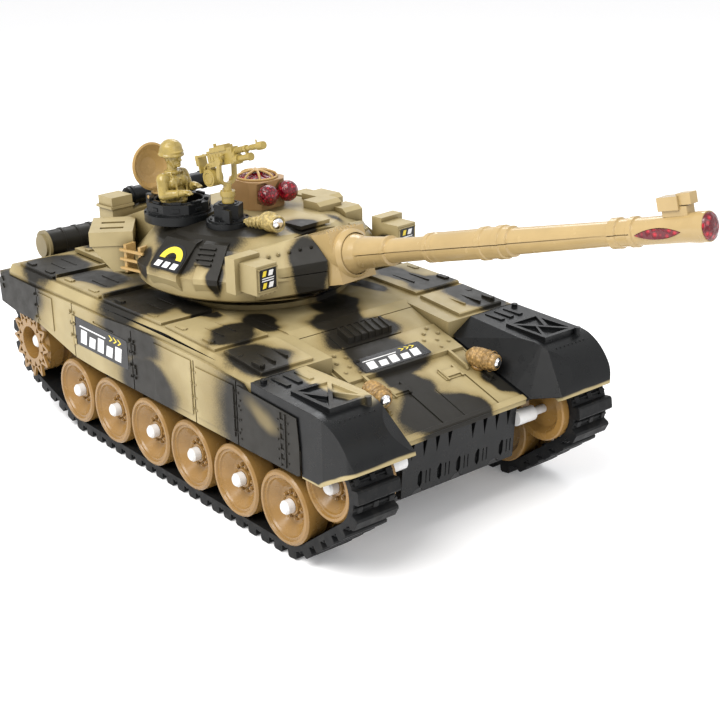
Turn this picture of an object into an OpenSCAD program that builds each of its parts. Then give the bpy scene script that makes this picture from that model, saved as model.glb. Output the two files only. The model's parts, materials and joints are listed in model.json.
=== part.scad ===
// Radio-controlled tank with tracks, a turning turret and a gun that rises and falls.
// Frame: +X to the front, +Y to the left, +Z up, the ground at Z = 0 and the
// origin under the middle of the overall length. Inside the modules, positions
// are in the hull's own frame: X from the middle of the wheelbase, Z from a
// datum plane a little below the ground.

/* [Running gear] */
// Distance between neighbouring road wheels
wheel_pitch = 36; // [35.5:0.1:36.5]
// Road wheel radius
wheel_r = 17; // [16:0.25:17]
// Height of the road wheel hubs over the datum
wheel_z = 25.5; // [25.5:0.1:26]
// Thickness of the track band
band_t = 2.6; // [2.2:0.1:2.8]
// Height of the track pads
pad_h = 3.6; // [3:0.1:3.8]
// Number of links in each track
links = 64; // [56:1:72]
// Idler radius
idler_r = 15; // [14:0.25:15]
// Tip radius of the sprocket teeth
sprocket_r = 19.5; // [19:0.1:19.6]
// Number of sprocket teeth
sprocket_teeth = 12; // [10:1:13]

/* [Turret and gun] */
// Turret heading at rest, to the left of straight ahead
turret_turn = 5.8; // [0:0.1:8]
// Gun elevation at rest
gun_rise = 14; // [10:0.5:16]
// Gun length from the trunnion to the muzzle face
gun_length = 215; // [205:1:225]
// Machine gun elevation at rest
mg_rise = 15; // [10:0.5:18]

/* [Hidden] */
$fn = 48;

sand = "tan";
camo_black = [0.13, 0.12, 0.1];
ochre = [0.72, 0.49, 0.22];
peach = [0.86, 0.66, 0.42];
mustard = [0.75, 0.6, 0.25];
eps = 0.01;
gap = 0.3;
// Play under the fittings that sit on the turret's curved faces
seat = 0.06;

// Running gear, seen from the side, as [x, z] in the hull frame
idler_c = [117.4, 44];
sprocket_c = [-137.3, 39.6];
wheel_first_x = -2.5 * wheel_pitch;
band_drum_r = 17.5;
run_r = wheel_r + gap;
track_circles = [
    [sprocket_c[0], sprocket_c[1], band_drum_r],
    [wheel_first_x, wheel_z, run_r],
    [-wheel_first_x, wheel_z, run_r],
    [idler_c[0], idler_c[1], idler_r + gap]];
ground_z = wheel_z - run_r - band_t - pad_h;
track_in = 53.6;
track_out = 75.8;
// Groove in the wheels for the guide teeth, from the tank's middle plane
groove = [62.6, 66.8];
wheel_face = 77.6;
hull_half = 34;
stub_r = 2;
bore_r = 2.06;

// Hull
// Rearmost point of the fuel drums
rear_x = -171.6;
deck_z = 82;
deck_t = 2;
board_x = 82.5;
fender_half = 78;
glacis_x = 40;
glacis_slope = 0.335;
nose_x = 122;
glacis_half = 36;
skirt_in = 78;
skirt_t = 1.4;

// Turret
turret_x = -32;
rim_r = 59.5;
rim_z = 90;
seam_z = 100;
roof_z = 119;
trunnion = [46, 0, 104.2];
notch_half = 13.6;
mg_at = [9, -24.5, 150];
cupola_at = [-22, -30];
hatch_at = [-40.5, -30, 126];

gun_front = turret_x + (trunnion[0] + (gun_length + 2) * cos(gun_rise)) * cos(turret_turn);
mid_x = (gun_front + rear_x) / 2;

// Placing helpers
module placed() translate([-mid_x, 0, -ground_z]) children();
module in_turret() placed() translate([turret_x, 0, 0]) rotate([0, 0, turret_turn]) children();
module in_gun() in_turret() translate(trunnion) rotate([0, -gun_rise, 0]) children();
module block(lo, hi) translate(lo) cube(hi - lo);
// Draws its children as they are for the left side and mirrored for the right side
module on_side(s) {
    if (s > 0) children();
    else mirror([0, 1, 0]) children();
}
module both_sides() {
    children();
    mirror([0, 1, 0]) children();
}
// Extrudes an [x, z] outline from y0 to y1
module side_extrude(y0, y1) translate([0, y1, 0]) rotate([90, 0, 0]) linear_extrude(y1 - y0) children();
// Extrudes a [y, z] outline from x0 to x1
module cross_extrude(x0, x1) translate([x0, 0, 0]) rotate([90, 0, 90]) linear_extrude(x1 - x0) children();
// A cylinder along Y, along X
module rod_y(r, y0, y1) translate([0, y1, 0]) rotate([90, 0, 0]) cylinder(r = r, h = y1 - y0);
module rod_x(r, x0, x1) translate([x0, 0, 0]) rotate([0, 90, 0]) cylinder(r = r, h = x1 - x0);
// Turns an [r, y] profile about the Y axis
module turned_y() rotate([-90, 0, 0]) rotate_extrude() children();

// ---- Track path -------------------------------------------------------
n_c = len(track_circles);
function circ(i) = track_circles[i % n_c];
function centre(i) = [circ(i)[0], circ(i)[1]];
function span(i) = centre(i + 1) - centre(i);
// Outward normal of the straight run from circle i to circle i + 1
function run_normal(i) =
    let (d = span(i), l = norm(d), u = d / l, q = (circ(i)[2] - circ(i + 1)[2]) / l)
    u * q + [u[1], -u[0]] * sqrt(1 - q * q);
function run_start(i, t) = centre(i) + run_normal(i) * (circ(i)[2] + t);
function run_end(i, t) = centre(i + 1) + run_normal(i) * (circ(i + 1)[2] + t);
function run_length(i) = norm(run_end(i, 0) - run_start(i, 0));
function heading(n) = atan2(n[1], n[0]);
function arc_turn(i) = (heading(run_normal(i)) - heading(run_normal(i + n_c - 1)) + 720) % 360;
function arc_length(i) = arc_turn(i) * PI / 180 * circ(i)[2];
function leg(i) = arc_length(i) + run_length(i);
loop_length = leg(0) + leg(1) + leg(2) + leg(3);
// Position and heading of the band's inner face at the distance s from the start of arc i
function on_loop(s, i = 0) =
    s > leg(i) && i < n_c - 1 ? on_loop(s - leg(i), i + 1) :
    s < arc_length(i) ?
        let (a = heading(run_normal(i + n_c - 1)) + s / circ(i)[2] * 180 / PI)
        [centre(i) + circ(i)[2] * [cos(a), sin(a)], a] :
        let (u = (s - arc_length(i)) / run_length(i))
        [run_start(i, 0) * (1 - u) + run_end(i, 0) * u, heading(run_normal(i))];

module loop_area(t) {
    for (i = [0:n_c - 1]) translate(centre(i)) circle(r = circ(i)[2] + t, $fn = 96);
    polygon([for (i = [0:n_c - 1]) each [run_start(i, t), run_end(i, t)]]);
}

module pad_outline(length, height) {
    polygon([[-1, -length / 2], [height - 0.8, -length / 2], [height, -length / 2 + 0.8],
        [height, length / 2 - 0.8], [height - 0.8, length / 2], [-1, length / 2]]);
}

module track(s) placed() on_side(s) color([0.09, 0.09, 0.1]) {
    pitch = loop_length / links;
    side_extrude(track_in, track_out) {
        difference() {
            loop_area(band_t);
            loop_area(0);
        }
        for (k = [0:links - 1]) {
            at = on_loop((k + 0.5) * pitch);
            translate(at[0]) rotate(at[1]) translate([band_t, 0]) pad_outline(pitch * 0.62, pad_h);
        }
    }
    // Guide teeth on the inner face, along the middle of the band
    side_extrude(63.4, 66)
        for (k = [0:links - 1]) {
            at = on_loop((k + 0.5) * pitch);
            translate(at[0]) rotate(at[1] + 180)
                polygon([[-1, -1.8], [1.6, -0.9], [1.6, 0.9], [-1, 1.8]]);
        }
}

// ---- Wheels -----------------------------------------------------------
// A double disc with a groove for the guide teeth, a stepped rim and a deep dish.
// The profile runs from the inner face to the outer face, which lies at y = face.
module wheel_profile(r, face) {
    in0 = face - 25.5;
    polygon([[bore_r, in0 + 3], [r - 6, in0 + 3], [r - 3.5, in0], [r - 0.6, in0], [r, in0 + 0.6],
        [r, groove[0]], [r - 3.4, groove[0]], [r - 3.4, groove[1]], [r, groove[1]],
        [r, face - 0.9], [r - 0.9, face], [r - 2.2, face], [r - 2.6, face - 0.9],
        [r - 3.6, face - 0.9], [r - 4.1, face - 1.8], [r - 8.2, face - 5.6], [r - 9.2, face - 6.1],
        [4.6, face - 6.1], [4.3, face - 4.4], [bore_r, face - 4.4]]);
}
module wheel(r, face, bolts) {
    turned_y() wheel_profile(r, face);
    for (i = [0:bolts - 1])
        rotate([0, i * 360 / bolts, 0]) translate([6.1, 0, 0]) {
            rod_y(0.95, face - 6.3, face - 4.9);
            rod_y(0.6, face - 5, face - 4.4);
        }
}
module road_wheel(i, s) placed() on_side(s)
    translate([wheel_first_x + (i - 1) * wheel_pitch, 0, wheel_z]) color(ochre)
        wheel(wheel_r, wheel_face, 10);

module idler(s) placed() on_side(s) translate([idler_c[0], 0, idler_c[1]]) color(ochre)
    wheel(idler_r, track_out - 0.6, 8);

// Star ring: a flat ring with pointed teeth, each with a three-cornered window
module star_ring() {
    step = 360 / sprocket_teeth;
    root = 13.4;
    difference() {
        union() {
            circle(r = root + 0.4);
            for (i = [0:sprocket_teeth - 1]) rotate(i * step)
                polygon([[root - 2, -4.1], [sprocket_r - 0.7, -0.8], [sprocket_r, 0],
                    [sprocket_r - 0.7, 0.8], [root - 2, 4.1]]);
        }
        circle(r = 9);
        for (i = [0:sprocket_teeth - 1]) rotate((i + 0.5) * step)
            polygon([[10.4, 0], [13.2, -1.7], [13.2, 1.7]]);
        for (i = [0:sprocket_teeth - 1]) rotate(i * step)
            polygon([[13.4, -1.5], [17, 0], [13.4, 1.5]]);
    }
}
module sprocket(s) placed() on_side(s) translate([sprocket_c[0], 0, sprocket_c[1]]) color(ochre) {
    difference() {
        turned_y() polygon([[2.5, 50], [7, 50], [7, 52.4], [15.5, 52.4], [16.4, 53.3], [16.4, groove[0]],
            [14.6, groove[0]], [14.6, groove[1]], [16.4, groove[1]], [16.4, 74.6], [15, 76.2], [9, 76.2],
            [9, 71], [5.2, 71], [5.2, 73], [2.5, 73]]);
        for (i = [0:5]) rotate([0, 60 * i, 0]) translate([12, 0, 0]) rod_y(1.6, 60, 80);
    }
    side_extrude(76.15, 77.7) star_ring();
    for (i = [0:5]) rotate([0, 60 * i + 30, 0]) translate([7, 0, 0]) rod_y(0.8, 70.9, 71.8);
}
module drive_shaft(s) placed() on_side(s) translate([sprocket_c[0], 0, sprocket_c[1]])
    color("white") {
        rod_y(2.5, 20, 73);
        turned_y() polygon([[0, 73], [3.4, 73], [3.4, 74.6], [2.6, 75.4], [0, 75.4]]);
    }

module stub(x, z, tip) translate([x, 0, z]) {
    rod_y(3.6, hull_half, tip - 30.2);
    rod_y(stub_r, hull_half, tip - 4);
    turned_y() polygon([[0, tip - 4.2], [3.2, tip - 4.2], [3.2, tip - 0.9], [2.4, tip], [0, tip]]);
}
module axle_stubs(s) placed() on_side(s) color("white") {
    for (i = [0:5]) stub(wheel_first_x + i * wheel_pitch, wheel_z, wheel_face);
    stub(idler_c[0], idler_c[1], track_out - 0.6);
    // Short pins between the wheels, which steady the track's upper run
    for (i = [0, 1, 2, 4])
        translate([wheel_first_x + (i + 0.5) * wheel_pitch, 0, wheel_z + 17]) {
            rod_y(1.1, hull_half, 58);
            rod_y(1.8, 58 - eps, 59.6);
        }
}

// ---- Lower hull and what is inside ------------------------------------
module hull_outline() polygon([[-148, 25], [-141, 19], [107, 19], [113.4, 25.5], [114.4, 38],
    [114.8, 49.6], [60, 66], [-148, 69]]);
module hull_cavity() polygon([[-145.5, 26], [-140, 21.5], [106, 21.5], [110.9, 26.5],
    [111.9, 38], [112.2, 80], [-145.5, 80]]);
battery_lo = [-48, -22];
battery_hi = [34, 22];
switch_at = [62, -14];
screws = [for (x = [-76, 78]) for (y = [-26, 26]) [x, y]];

module lower_hull() placed() color(camo_black) {
    difference() {
        side_extrude(-hull_half, hull_half) hull_outline();
        side_extrude(-hull_half + 2.5, hull_half - 2.5) hull_cavity();
        // Battery bay and its cover's seat
        block([battery_lo[0], battery_lo[1], 18], [battery_hi[0], battery_hi[1], 22]);
        block([battery_lo[0] - 2, battery_lo[1] - 2, 18], [battery_hi[0] + 2, battery_hi[1] + 2, 20.2]);
        // Slot for the power switch
        block([switch_at[0] - 5, switch_at[1] - 2.4, 18], [switch_at[0] + 5, switch_at[1] + 2.4, 22]);
        // Holes for the drive shafts and the screws
        translate([sprocket_c[0], 0, sprocket_c[1]]) rod_y(3, -40, 40);
        for (p = screws) translate([p[0], p[1], 18]) cylinder(r = 1.7, h = 5);
        // Speaker grille
        for (i = [-3:3]) for (j = [-2:2])
            translate([90 + i * 3.4, 8 + j * 3.4, 18]) cylinder(r = 1, h = 5);
    }
    for (p = screws) translate([p[0], p[1], 21.4]) difference() {
        cylinder(r = 4, h = 40);
        translate([0, 0, -1]) cylinder(r = 1.7, h = 42);
    }
    // Bump stops along the side walls
    both_sides() for (i = [0:4])
        block([wheel_first_x + 14 + i * wheel_pitch, hull_half - eps, 36],
            [wheel_first_x + 22 + i * wheel_pitch, hull_half + 5, 39]);
}
module battery_cover() placed() color(camo_black) difference() {
    block([battery_lo[0] - 1.8, battery_lo[1] - 1.8, 18.4],
        [battery_hi[0] + 1.8, battery_hi[1] + 1.8, 20.1]);
    for (i = [0:5]) block([battery_lo[0] + 2 + i * 3, -8, 17], [battery_lo[0] + 3.4 + i * 3, 8, 19]);
}
module battery_pack() placed() color("royalblue") for (i = [0:3])
    translate([-41 + i * 13.8 + 7, 0, 32]) {
        rod_y(6.8, -21, 21);
        rod_y(2.4, 21 - eps, 22.5);
    }
module control_board() placed() {
    color("darkgreen") block([-70, -24, 52], [0, 24, 53.6]);
    color("black") for (c = [[-60, -12], [-42, 6], [-22, -14]])
        block([c[0], c[1], 53.6 - eps], [c[0] + 12, c[1] + 8, 55.4]);
    color("silver") for (c = [[-30, 14], [-55, 14], [-12, 10]])
        translate([c[0], c[1], 53.6 - eps]) cylinder(r = 3, h = 9);
    color("white") for (c = [[-68, -20], [-6, -20]])
        block([c[0], c[1], 53.6 - eps], [c[0] + 5, c[1] + 10, 59]);
}
module speaker() placed() translate([90, 8, 21.5]) color([0.2, 0.2, 0.2]) {
    rotate_extrude() polygon([[0, 1.2], [5, 0.6], [11, 3], [12.5, 0], [14, 0], [14, 3.4], [8, 7],
        [8, 11], [0, 11]]);
}
module drive_gearboxes() placed() color("ivory") both_sides() difference() {
    block([-145, 6, 26], [-118, 31, 55]);
    translate([sprocket_c[0], 0, sprocket_c[1]]) rod_y(2.56, 19, 40);
}
module motor() {
    intersection() {
        rod_x(10, 0, 25);
        block([-1, -10, -7.7], [26, 10, 7.7]);
    }
    rod_x(3, 25 - eps, 27);
    rod_x(1, 27 - eps, 33);
}
module motors() placed() color("silver") {
    both_sides() translate([-92, 18.5, 40]) rotate([0, 0, 180]) translate([-8, 0, 0]) motor();
    translate([8, 0, 66]) rotate([0, 90, 0]) translate([-8, 0, 0]) motor();
}
module power_switch() placed() color("red")
    translate([switch_at[0] - 1.5, switch_at[1], 0]) {
        block([-1.6, -2, 17.4], [1.6, 2, 22.4]);
        block([-3, -3.8, 22.2], [3, 3.8, 23.6]);
    }
module hull_screws() placed() color("silver") for (p = screws) translate([p[0], p[1], 19]) difference() {
    union() {
        translate([0, 0, -0.9]) cylinder(r = 2.8, h = 0.9);
        translate([0, 0, -eps]) cylinder(r = 1.5, h = 30);
    }
    for (a = [0, 90]) rotate(a) translate([-2, -0.3, -2]) cube([4, 0.6, 1.6]);
}

// ---- Upper hull -------------------------------------------------------
function glacis_z(x) = deck_z - (x - glacis_x) * glacis_slope;
module glacis_outline() polygon([[-148, 69], [-154, 72], [-154, 80.6], [-150, deck_z],
    [glacis_x, deck_z], [nose_x, glacis_z(nose_x)], [nose_x + 0.4, 52.4], [118.6, 51],
    [114.8, 49.6], [60, 66]]);
module glacis_cavity() polygon([[-151.5, 50], [-151.5, 78], [-149, deck_z - deck_t],
    [glacis_x, deck_z - deck_t], [112.2, glacis_z(112.2) - deck_t], [112.2, 40]]);
module fender_outline() polygon([[-154, 72], [-154, 80], [-107, 80.4], [-51, 81.3], [0, 82.3],
    [42, 81.2], [72, 78.4], [72, 70], [-150, 70]]);
module fender_cavity() polygon([[-152, 60], [-152, 78], [-107, 78.4], [-51, 79.3], [0, 80.3],
    [42, 79.2], [70.4, 76.4], [70.4, 60]]);
// A plate that follows the glacis, from x0 to x1 and y0 to y1, standing h proud of it
module glacis_plate(x0, x1, y0, y1, h) side_extrude(y0, y1)
    polygon([[x0, glacis_z(x0) - 0.5], [x1, glacis_z(x1) - 0.5], [x1, glacis_z(x1) + h],
        [x0, glacis_z(x0) + h]]);
module on_glacis(x, y) translate([x, y, glacis_z(x)]) rotate([0, atan(glacis_slope), 0]) children();
module rivet(r = 0.9, h = 0.7) {
    translate([0, 0, -0.2]) cylinder(r = r, h = h * 0.6 + 0.2);
    translate([0, 0, h * 0.6 - eps]) cylinder(r = r * 0.65, h = h * 0.4);
}
// A bin lid on the fender with a raised rim line and a latch at its outer edge
module fender_lid(x0, x1, z0, z1, y0 = 45, y1 = 74) {
    side_extrude(y0, y1) polygon([[x0, z0 - 1], [x1, z1 - 1], [x1, z1 + 1.3], [x1 - 0.8, z1 + 1.7],
        [x0 + 0.8, z0 + 1.7], [x0, z0 + 1.3]]);
    mid = (x0 + x1) / 2;
    zm = (z0 + z1) / 2 + 1.7;
    for (dx = [-0.28, 0.28]) translate([mid + dx * (x1 - x0), y1 - 3, zm - eps]) {
        block([-3.2, -1.4, -1], [3.2, 1.4, 0.7]);
        rod_x(0.7, -3.8, 3.8);
    }
    block([mid - 8, y0 + 9, zm - 1.4], [mid + 8, y0 + 9.9, zm + 0.35]);
    block([mid - 4, y0 + 17, zm - 1.4], [mid + 10, y0 + 17.9, zm + 0.35]);
}
module upper_hull() placed() color(sand) {
    difference() {
        union() {
            side_extrude(-glacis_half, glacis_half) glacis_outline();
            both_sides() intersection() {
                side_extrude(hull_half + 1, fender_half) fender_outline();
                cross_extrude(-160, 80) polygon([[30, 60], [fender_half, 60], [fender_half, 76.5],
                    [fender_half - 3, 81.5], [fender_half - 5, 90], [30, 90]]);
            }
        }
        side_extrude(-hull_half, hull_half) glacis_cavity();
        both_sides() side_extrude(glacis_half, fender_half - 1.6) fender_cavity();
        translate([turret_x, 0, 60]) cylinder(r = 30.4, h = 40, $fn = 96);
        // Engraved panel lines on the glacis
        for (g = [[-12, 96.5, 0.5], [1, 100, 0.25], [21.8, 97, 0.5]])
            on_glacis(g[1], g[0]) block([0, -g[2], -0.6], [24, g[2], 1]);
        on_glacis(46.4, 0) block([-0.25, -35, -0.5], [0.25, 35, 1]);
        both_sides() on_glacis(46.4, 34.8) block([0, -0.25, -0.5], [40, 0.25, 1]);
    }
    // Turret race round the deck hole
    translate([turret_x, 0, deck_z - eps]) difference() {
        cylinder(r = 46, h = 2.4, $fn = 96);
        translate([0, 0, -1]) cylinder(r = 43.4, h = 5, $fn = 96);
    }
    // Bin lids along the fenders
    both_sides() {
        fender_lid(-148, -112, 80.0, 80.3);
        fender_lid(-108, -64, 80.4, 81.0);
        fender_lid(-60, -6, 81.1, 82.2);
        fender_lid(-2, 38, 82.2, 81.3);
        fender_lid(42, 70, 81.1, 78.6, 44, 72);
        block([-62.5, 44, 80.6], [-60.7, 73, 84.2]);
        block([-110.5, 44, 80], [-108.8, 73, 83.4]);
    }
    // Engine deck: louvres, a cover plate and its hinges
    for (i = [0:7]) side_extrude(-24, 24) translate([-146 + i * 5, deck_z])
        polygon([[0, -1], [3.4, -1], [3.4, 0.2], [0.6, 1.7], [0, 1.7]]);
    both_sides() block([-148, 25.5, deck_z - 1], [-104, 27, deck_z + 2]);
    both_sides() block([-148, 29, deck_z - 1], [-92, 41, deck_z + 1.2]);
    both_sides() for (x = [-140, -118, -98]) block([x, 31, deck_z + 1], [x + 4, 39, deck_z + 2.2]);
    block([-154.8, -30, 73], [-153.8, 30, 80]);
    both_sides() for (z = [74.5, 78.5]) translate([-154.6, 27.5, z]) rotate([0, -90, 0]) rivet();
    // Ribbed vision block with its raised pad
    glacis_plate(50.5, 61, -20, 15, 0.7);
    glacis_plate(52, 59, -15.5, 10, 3.4);
    for (i = [0:6]) glacis_plate(51.4, 59.6, -15.6 + i * 4.1, -14.2 + i * 4.1, 4.1);
    // Raised upper plate with its rivets
    side_extrude(-34.4, 34.4) polygon([[61.5, glacis_z(61.5) - 0.5], [board_x, glacis_z(board_x) - 0.5],
        [board_x, glacis_z(board_x) + 1.6], [62, glacis_z(62) + 0.8], [61.5, glacis_z(61.5) + 0.4]]);
    both_sides() for (p = [[64, 28], [67, 23.5], [69, 30.5], [73, 26.5], [76, 31], [78, 24.5], [71, 20]])
        on_glacis(p[0], p[1]) translate([0, 0, 0.9]) rivet(0.95, 1);
    // Splash board: an upright lip across the glacis with an arm running forward at each end
    glacis_plate(board_x - 1.3, board_x, -25.9, 25.9, 2.2);
    both_sides() side_extrude(24.7, 26.1) polygon([[board_x - 1, glacis_z(board_x) - 0.5],
        [95.4, glacis_z(95.4) - 0.5], [95.4, glacis_z(95.4) + 0.9], [94.2, glacis_z(94.2) + 2.2],
        [board_x - 1, glacis_z(board_x) + 2.6]]);
    // Clamp plates, each with a raised pad and two hinge tabs
    both_sides() on_glacis(94, 15.8) {
        block([-3.4, -5.6, -0.5], [3.4, 5.6, 0.4]);
        block([-2.2, -4, 0], [2.2, 4, 1.1]);
        for (y = [-4.6, 3.8]) block([-4.2, y, -0.5], [4, y + 0.8, 1]);
    }
    // Towing hooks
    both_sides() on_glacis(103, 31) {
        block([-3, -1.6, -0.5], [3, 1.6, 0.6]);
        block([1.4, -0.7, 0], [2.6, 0.7, 2.6]);
        block([-1.4, -0.7, 1.6], [2.6, 0.7, 2.6]);
    }
    // Nose lip
    side_extrude(-glacis_half, glacis_half) polygon([[119.4, glacis_z(119.4) - 0.5],
        [nose_x, glacis_z(nose_x) - 0.5], [nose_x + 0.8, glacis_z(nose_x) + 0.2],
        [nose_x, glacis_z(nose_x) + 0.9], [119.8, glacis_z(119.8) + 0.9]]);
}

// ---- Skirts, mudguards and nose ---------------------------------------
module skirt_outline() polygon([[-164, 57.5], [-148, 55.5], [-121.6, 55.1], [-83, 47], [-60, 46],
    [104, 46], [106, 52], [106, 58], [84, 70.4], [72, 70.6], [66, 75.6], [40, 77.5], [-5, 78.2],
    [-28, 77.5], [-52, 76], [-83, 75.5], [-123, 74.5], [-160, 74.5], [-165, 70]]);
skirt_lines = [-121.6, -83, -25.4, 28.3, 61.4];
module skirt(s) placed() on_side(s) color(sand) {
    difference() {
        side_extrude(skirt_in, skirt_in + skirt_t) skirt_outline();
        for (x = skirt_lines) block([x - 0.4, skirt_in + skirt_t - 0.6, 40], [x + 0.4, skirt_in + 4, 76]);
        block([-62, skirt_in + skirt_t - 0.5, 70.4], [-42, skirt_in + 4, 71.6]);
    }
    // Raised cover plates over every second panel
    side_extrude(skirt_in + skirt_t - eps, skirt_in + skirt_t + 0.5) {
        polygon([[-5, 49.5], [26.5, 49.5], [26.5, 75.5], [-5, 75.5]]);
        polygon([[30, 49.5], [59.6, 49.5], [59.6, 73.5], [30, 73.5]]);
        polygon([[-119, 58.5], [-104, 55.2], [-104, 73], [-119, 73]]);
    }
    // Rivets and hinges along the panel lines
    for (x = skirt_lines) for (z = [52.5, 58.5, 65, 71]) if (z > 56 || x > -80)
        for (dx = [-1.9, 1.9])
            translate([x + dx, skirt_in + skirt_t, z]) rotate([-90, 0, 0]) rivet(0.8, 0.8);
    for (x = [-83, -25.4]) for (z = [56, 68])
        translate([x, skirt_in + skirt_t, z]) {
            cylinder(r = 0.9, h = 5, center = true);
            block([-3, -0.3, -1.6], [3, 0.45, 1.6]);
        }
    // Rear lamp pads
    side_extrude(skirt_in + skirt_t - eps, skirt_in + skirt_t + 0.6) {
        polygon([[-162, 70], [-159, 70], [-160.5, 72.4]]);
        polygon([[-162, 66], [-159, 66], [-160.5, 68.4]]);
    }
    // Rear wall that closes the fender end
    block([-165, 40, 66], [-163.6, skirt_in + 0.5, 74.4]);
    block([-164, 40, 73], [-154, skirt_in + 0.5, 74.5]);
}

guard_arc_c = [112.3, 51.5];
guard_arc_r = 25.4;
module guard_side(t) {
    polygon([[72 + t, 40], [72 + t, 78.2 - t], [112, 76.9 - t], guard_arc_c, [150, 40], [110, 30]]);
    intersection() {
        translate(guard_arc_c) circle(r = guard_arc_r - t, $fn = 96);
        translate([111, 45]) square([40, 60]);
    }
}
module guard_plan(t) {
    polygon([[60, 20], [137.4 - t, 20], [137.4 - t, 73.8], [133.6, fender_half - 0.2 - t],
        [120, fender_half + 1 - t], [60, fender_half + 1 - t]]);
    translate([133.4, 73.8]) circle(r = 4 - t, $fn = 96);
}
// Points of the leaning inner wall: its foot follows the glacis, and the last two
// pairs turn it outwards round the nose
guard_wall = [[72, 36.4, 70.5], [72, 52.5, 80], [114, 36.4, 56], [119, 50, 79],
    [122.6, 36.4, 52], [137.6, 43.4, 56.4], [137.6, 43.4, 46], [72, 36.4, 46]];
module guard_bulk(t) translate([0, t, -t]) hull() {
    for (p = guard_wall) translate(p) cube(0.01);
    for (x = [72, 138]) for (z = [46, 80]) translate([x, 90, z]) cube(0.01);
}
module guard_solid(t) intersection() {
    side_extrude(20, 90) guard_side(t);
    guard_bulk(t);
    translate([0, 0, 30]) linear_extrude(60) guard_plan(t);
}
// Below this line the guard is open: low at the outside, high over the nose
module guard_bottom() {
    side_extrude(44, 90) polygon([[60, 30], [60, 71], [84, 70.8], [106.3, 58], [106.3, 45.4],
        [118, 45.8], [128, 51.6], [138, 56.6], [150, 57], [150, 30]]);
    side_extrude(30, 44 + eps) polygon([[60, 30], [60, glacis_z(60) + 0.4],
        [118, glacis_z(118) + 0.4], [123, 54.2], [138, 57.8], [150, 58], [150, 30]]);
}
module mudguard(s) placed() on_side(s) color(camo_black) {
    difference() {
        guard_solid(0);
        guard_solid(1.7);
        guard_bottom();
    }
    // Raised mouldings on the top: three ribs, a braced frame and two hinge knuckles
    for (i = [0:2]) block([75, 56 + i * 6, 76.6], [86, 58.4 + i * 6, 78.6]);
    translate([0, 0, 76.2]) linear_extrude(2.6) {
        difference() {
            polygon([[92, 53], [118, 52], [118, 73], [92, 73]]);
            polygon([[94, 55], [116, 54], [116, 71], [94, 71]]);
        }
        polygon([[93, 54.5], [94, 53], [117.4, 70.5], [116.4, 72]]);
        polygon([[103, 61], [104.5, 61], [117, 54], [116, 52.6]]);
        polygon([[94, 71], [95.6, 72], [107, 65.6], [106, 64]]);
    }
    translate([119.2, s > 0 ? 72 : 54, 73.6]) cylinder(r = 1.5, h = 6);
    translate([76, fender_half - 3, 75]) cylinder(r = 1.5, h = 4.8);
    // A row of bolt heads where the top turns down
    for (i = [0:7]) translate([123, 54 + i * 2.6, 74.2]) rotate([0, 24, 0]) rivet(0.55, 0.7);
}

slot_rows = [7, 14.3, 21.8, 29];
module front_plate() placed() color(camo_black) difference() {
    side_extrude(-hull_half, hull_half) polygon([[118.4, 50.6], [117.3, 38.9], [116.2, 25.1], [114, 24.4],
        [113.6, 26], [114.6, 38], [115, 49.4]]);
    // Tapering slots under the lip, and pointed ones with two score lines below the crease
    both_sides() for (y = slot_rows) translate([0, y, 0]) cross_extrude(116.2, 120)
        polygon([[-1.4, 50.4], [1.4, 50.4], [0.5, 45], [0.2, 42]]);
    for (y = [-23.5, -12, -0.6, 11, 26]) {
        translate([0, y, 0]) cross_extrude(115.2, 120)
            polygon([[-1.3, 33.6], [0.3, 36], [1.2, 35], [1.2, 29.6], [0.2, 27.6], [-1.3, 29.6]]);
        for (dy = [3.6, 5.8]) translate([0, y + dy, 0]) cross_extrude(116.2, 120)
            polygon([[-0.3, 35], [0.3, 35], [0.3, 28.6], [-0.3, 28.6]]);
    }
    // Wavy bottom edge
    for (y = [-24, -1, 22]) translate([112, y, 23.4]) rod_x(4, 0, 8);
}

module fuel_drums() placed() {
    color(camo_black) both_sides() {
        translate([-163.2, 0, 83.6]) {
            rod_y(7.8, 13, 50);
            for (y = [22, 31, 40]) rod_y(8.2, y, y + 1.6);
        }
        for (b = [[20, -154.8], [42, -154]]) block([-160, b[0], 76.2], [b[1], b[0] + 3, 79.4]);
    }
    color(sand) both_sides() translate([-163.2, 0, 83.6]) {
        rod_y(8.4, 50 - eps, 52);
        rod_y(6.4, 52 - eps, 53.4);
        rod_y(8.4, 11, 13 + eps);
    }
}

// Centre of the lens, and how far the lamp points outwards
headlight_at = [106.1, 33.6, 67.9];
headlight_turn = 12;
module headlight_axis()
    translate(headlight_at) rotate([0, 3, headlight_turn]) rotate([0, 90, 0]) children();
module headlights() placed() color(peach) both_sides() {
    headlight_axis() rotate_extrude() polygon([[0, -13.4], [2.4, -12.8], [4, -10.6], [4.6, -7], [4.5, -3.6],
        [3.6, -0.4], [2.9, 0], [2.7, -0.8], [0, -0.8]]);
    // Stalk that carries the lamp over the glacis
    on_glacis(95.4, 31.4) cylinder(r = 3.2, h = 1.6);
    translate([91, 30.4, 68.2]) rotate([0, 3, headlight_turn]) rod_x(2.7, 0, 6);
}
module headlight_lenses() placed() color("silver") both_sides() headlight_axis() rotate_extrude()
    polygon([[0, -0.8], [2.6, -0.8], [2.6, 0.2], [1.6, 1], [0, 1.3]]);

// ---- Turret -----------------------------------------------------------
// Cheek on each side of the mantlet, where the front of the turret runs out to a blunt prow
cheek_z = rim_z + 0.8;
module prow() both_sides() hull() {
    side_extrude(notch_half, notch_half + 0.2)
        polygon([[52, cheek_z + 0.8], [58, cheek_z + 0.8], [65.6, 95.5], [65.6, 109],
            [59.3, 114.7], [53.3, roof_z], [52, roof_z]]);
    side_extrude(40, 40.2) polygon([[39, cheek_z], [43.4, cheek_z], [44.4, seam_z], [43.8, 104.4],
        [36, 112], [34, 112]]);
}
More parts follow.
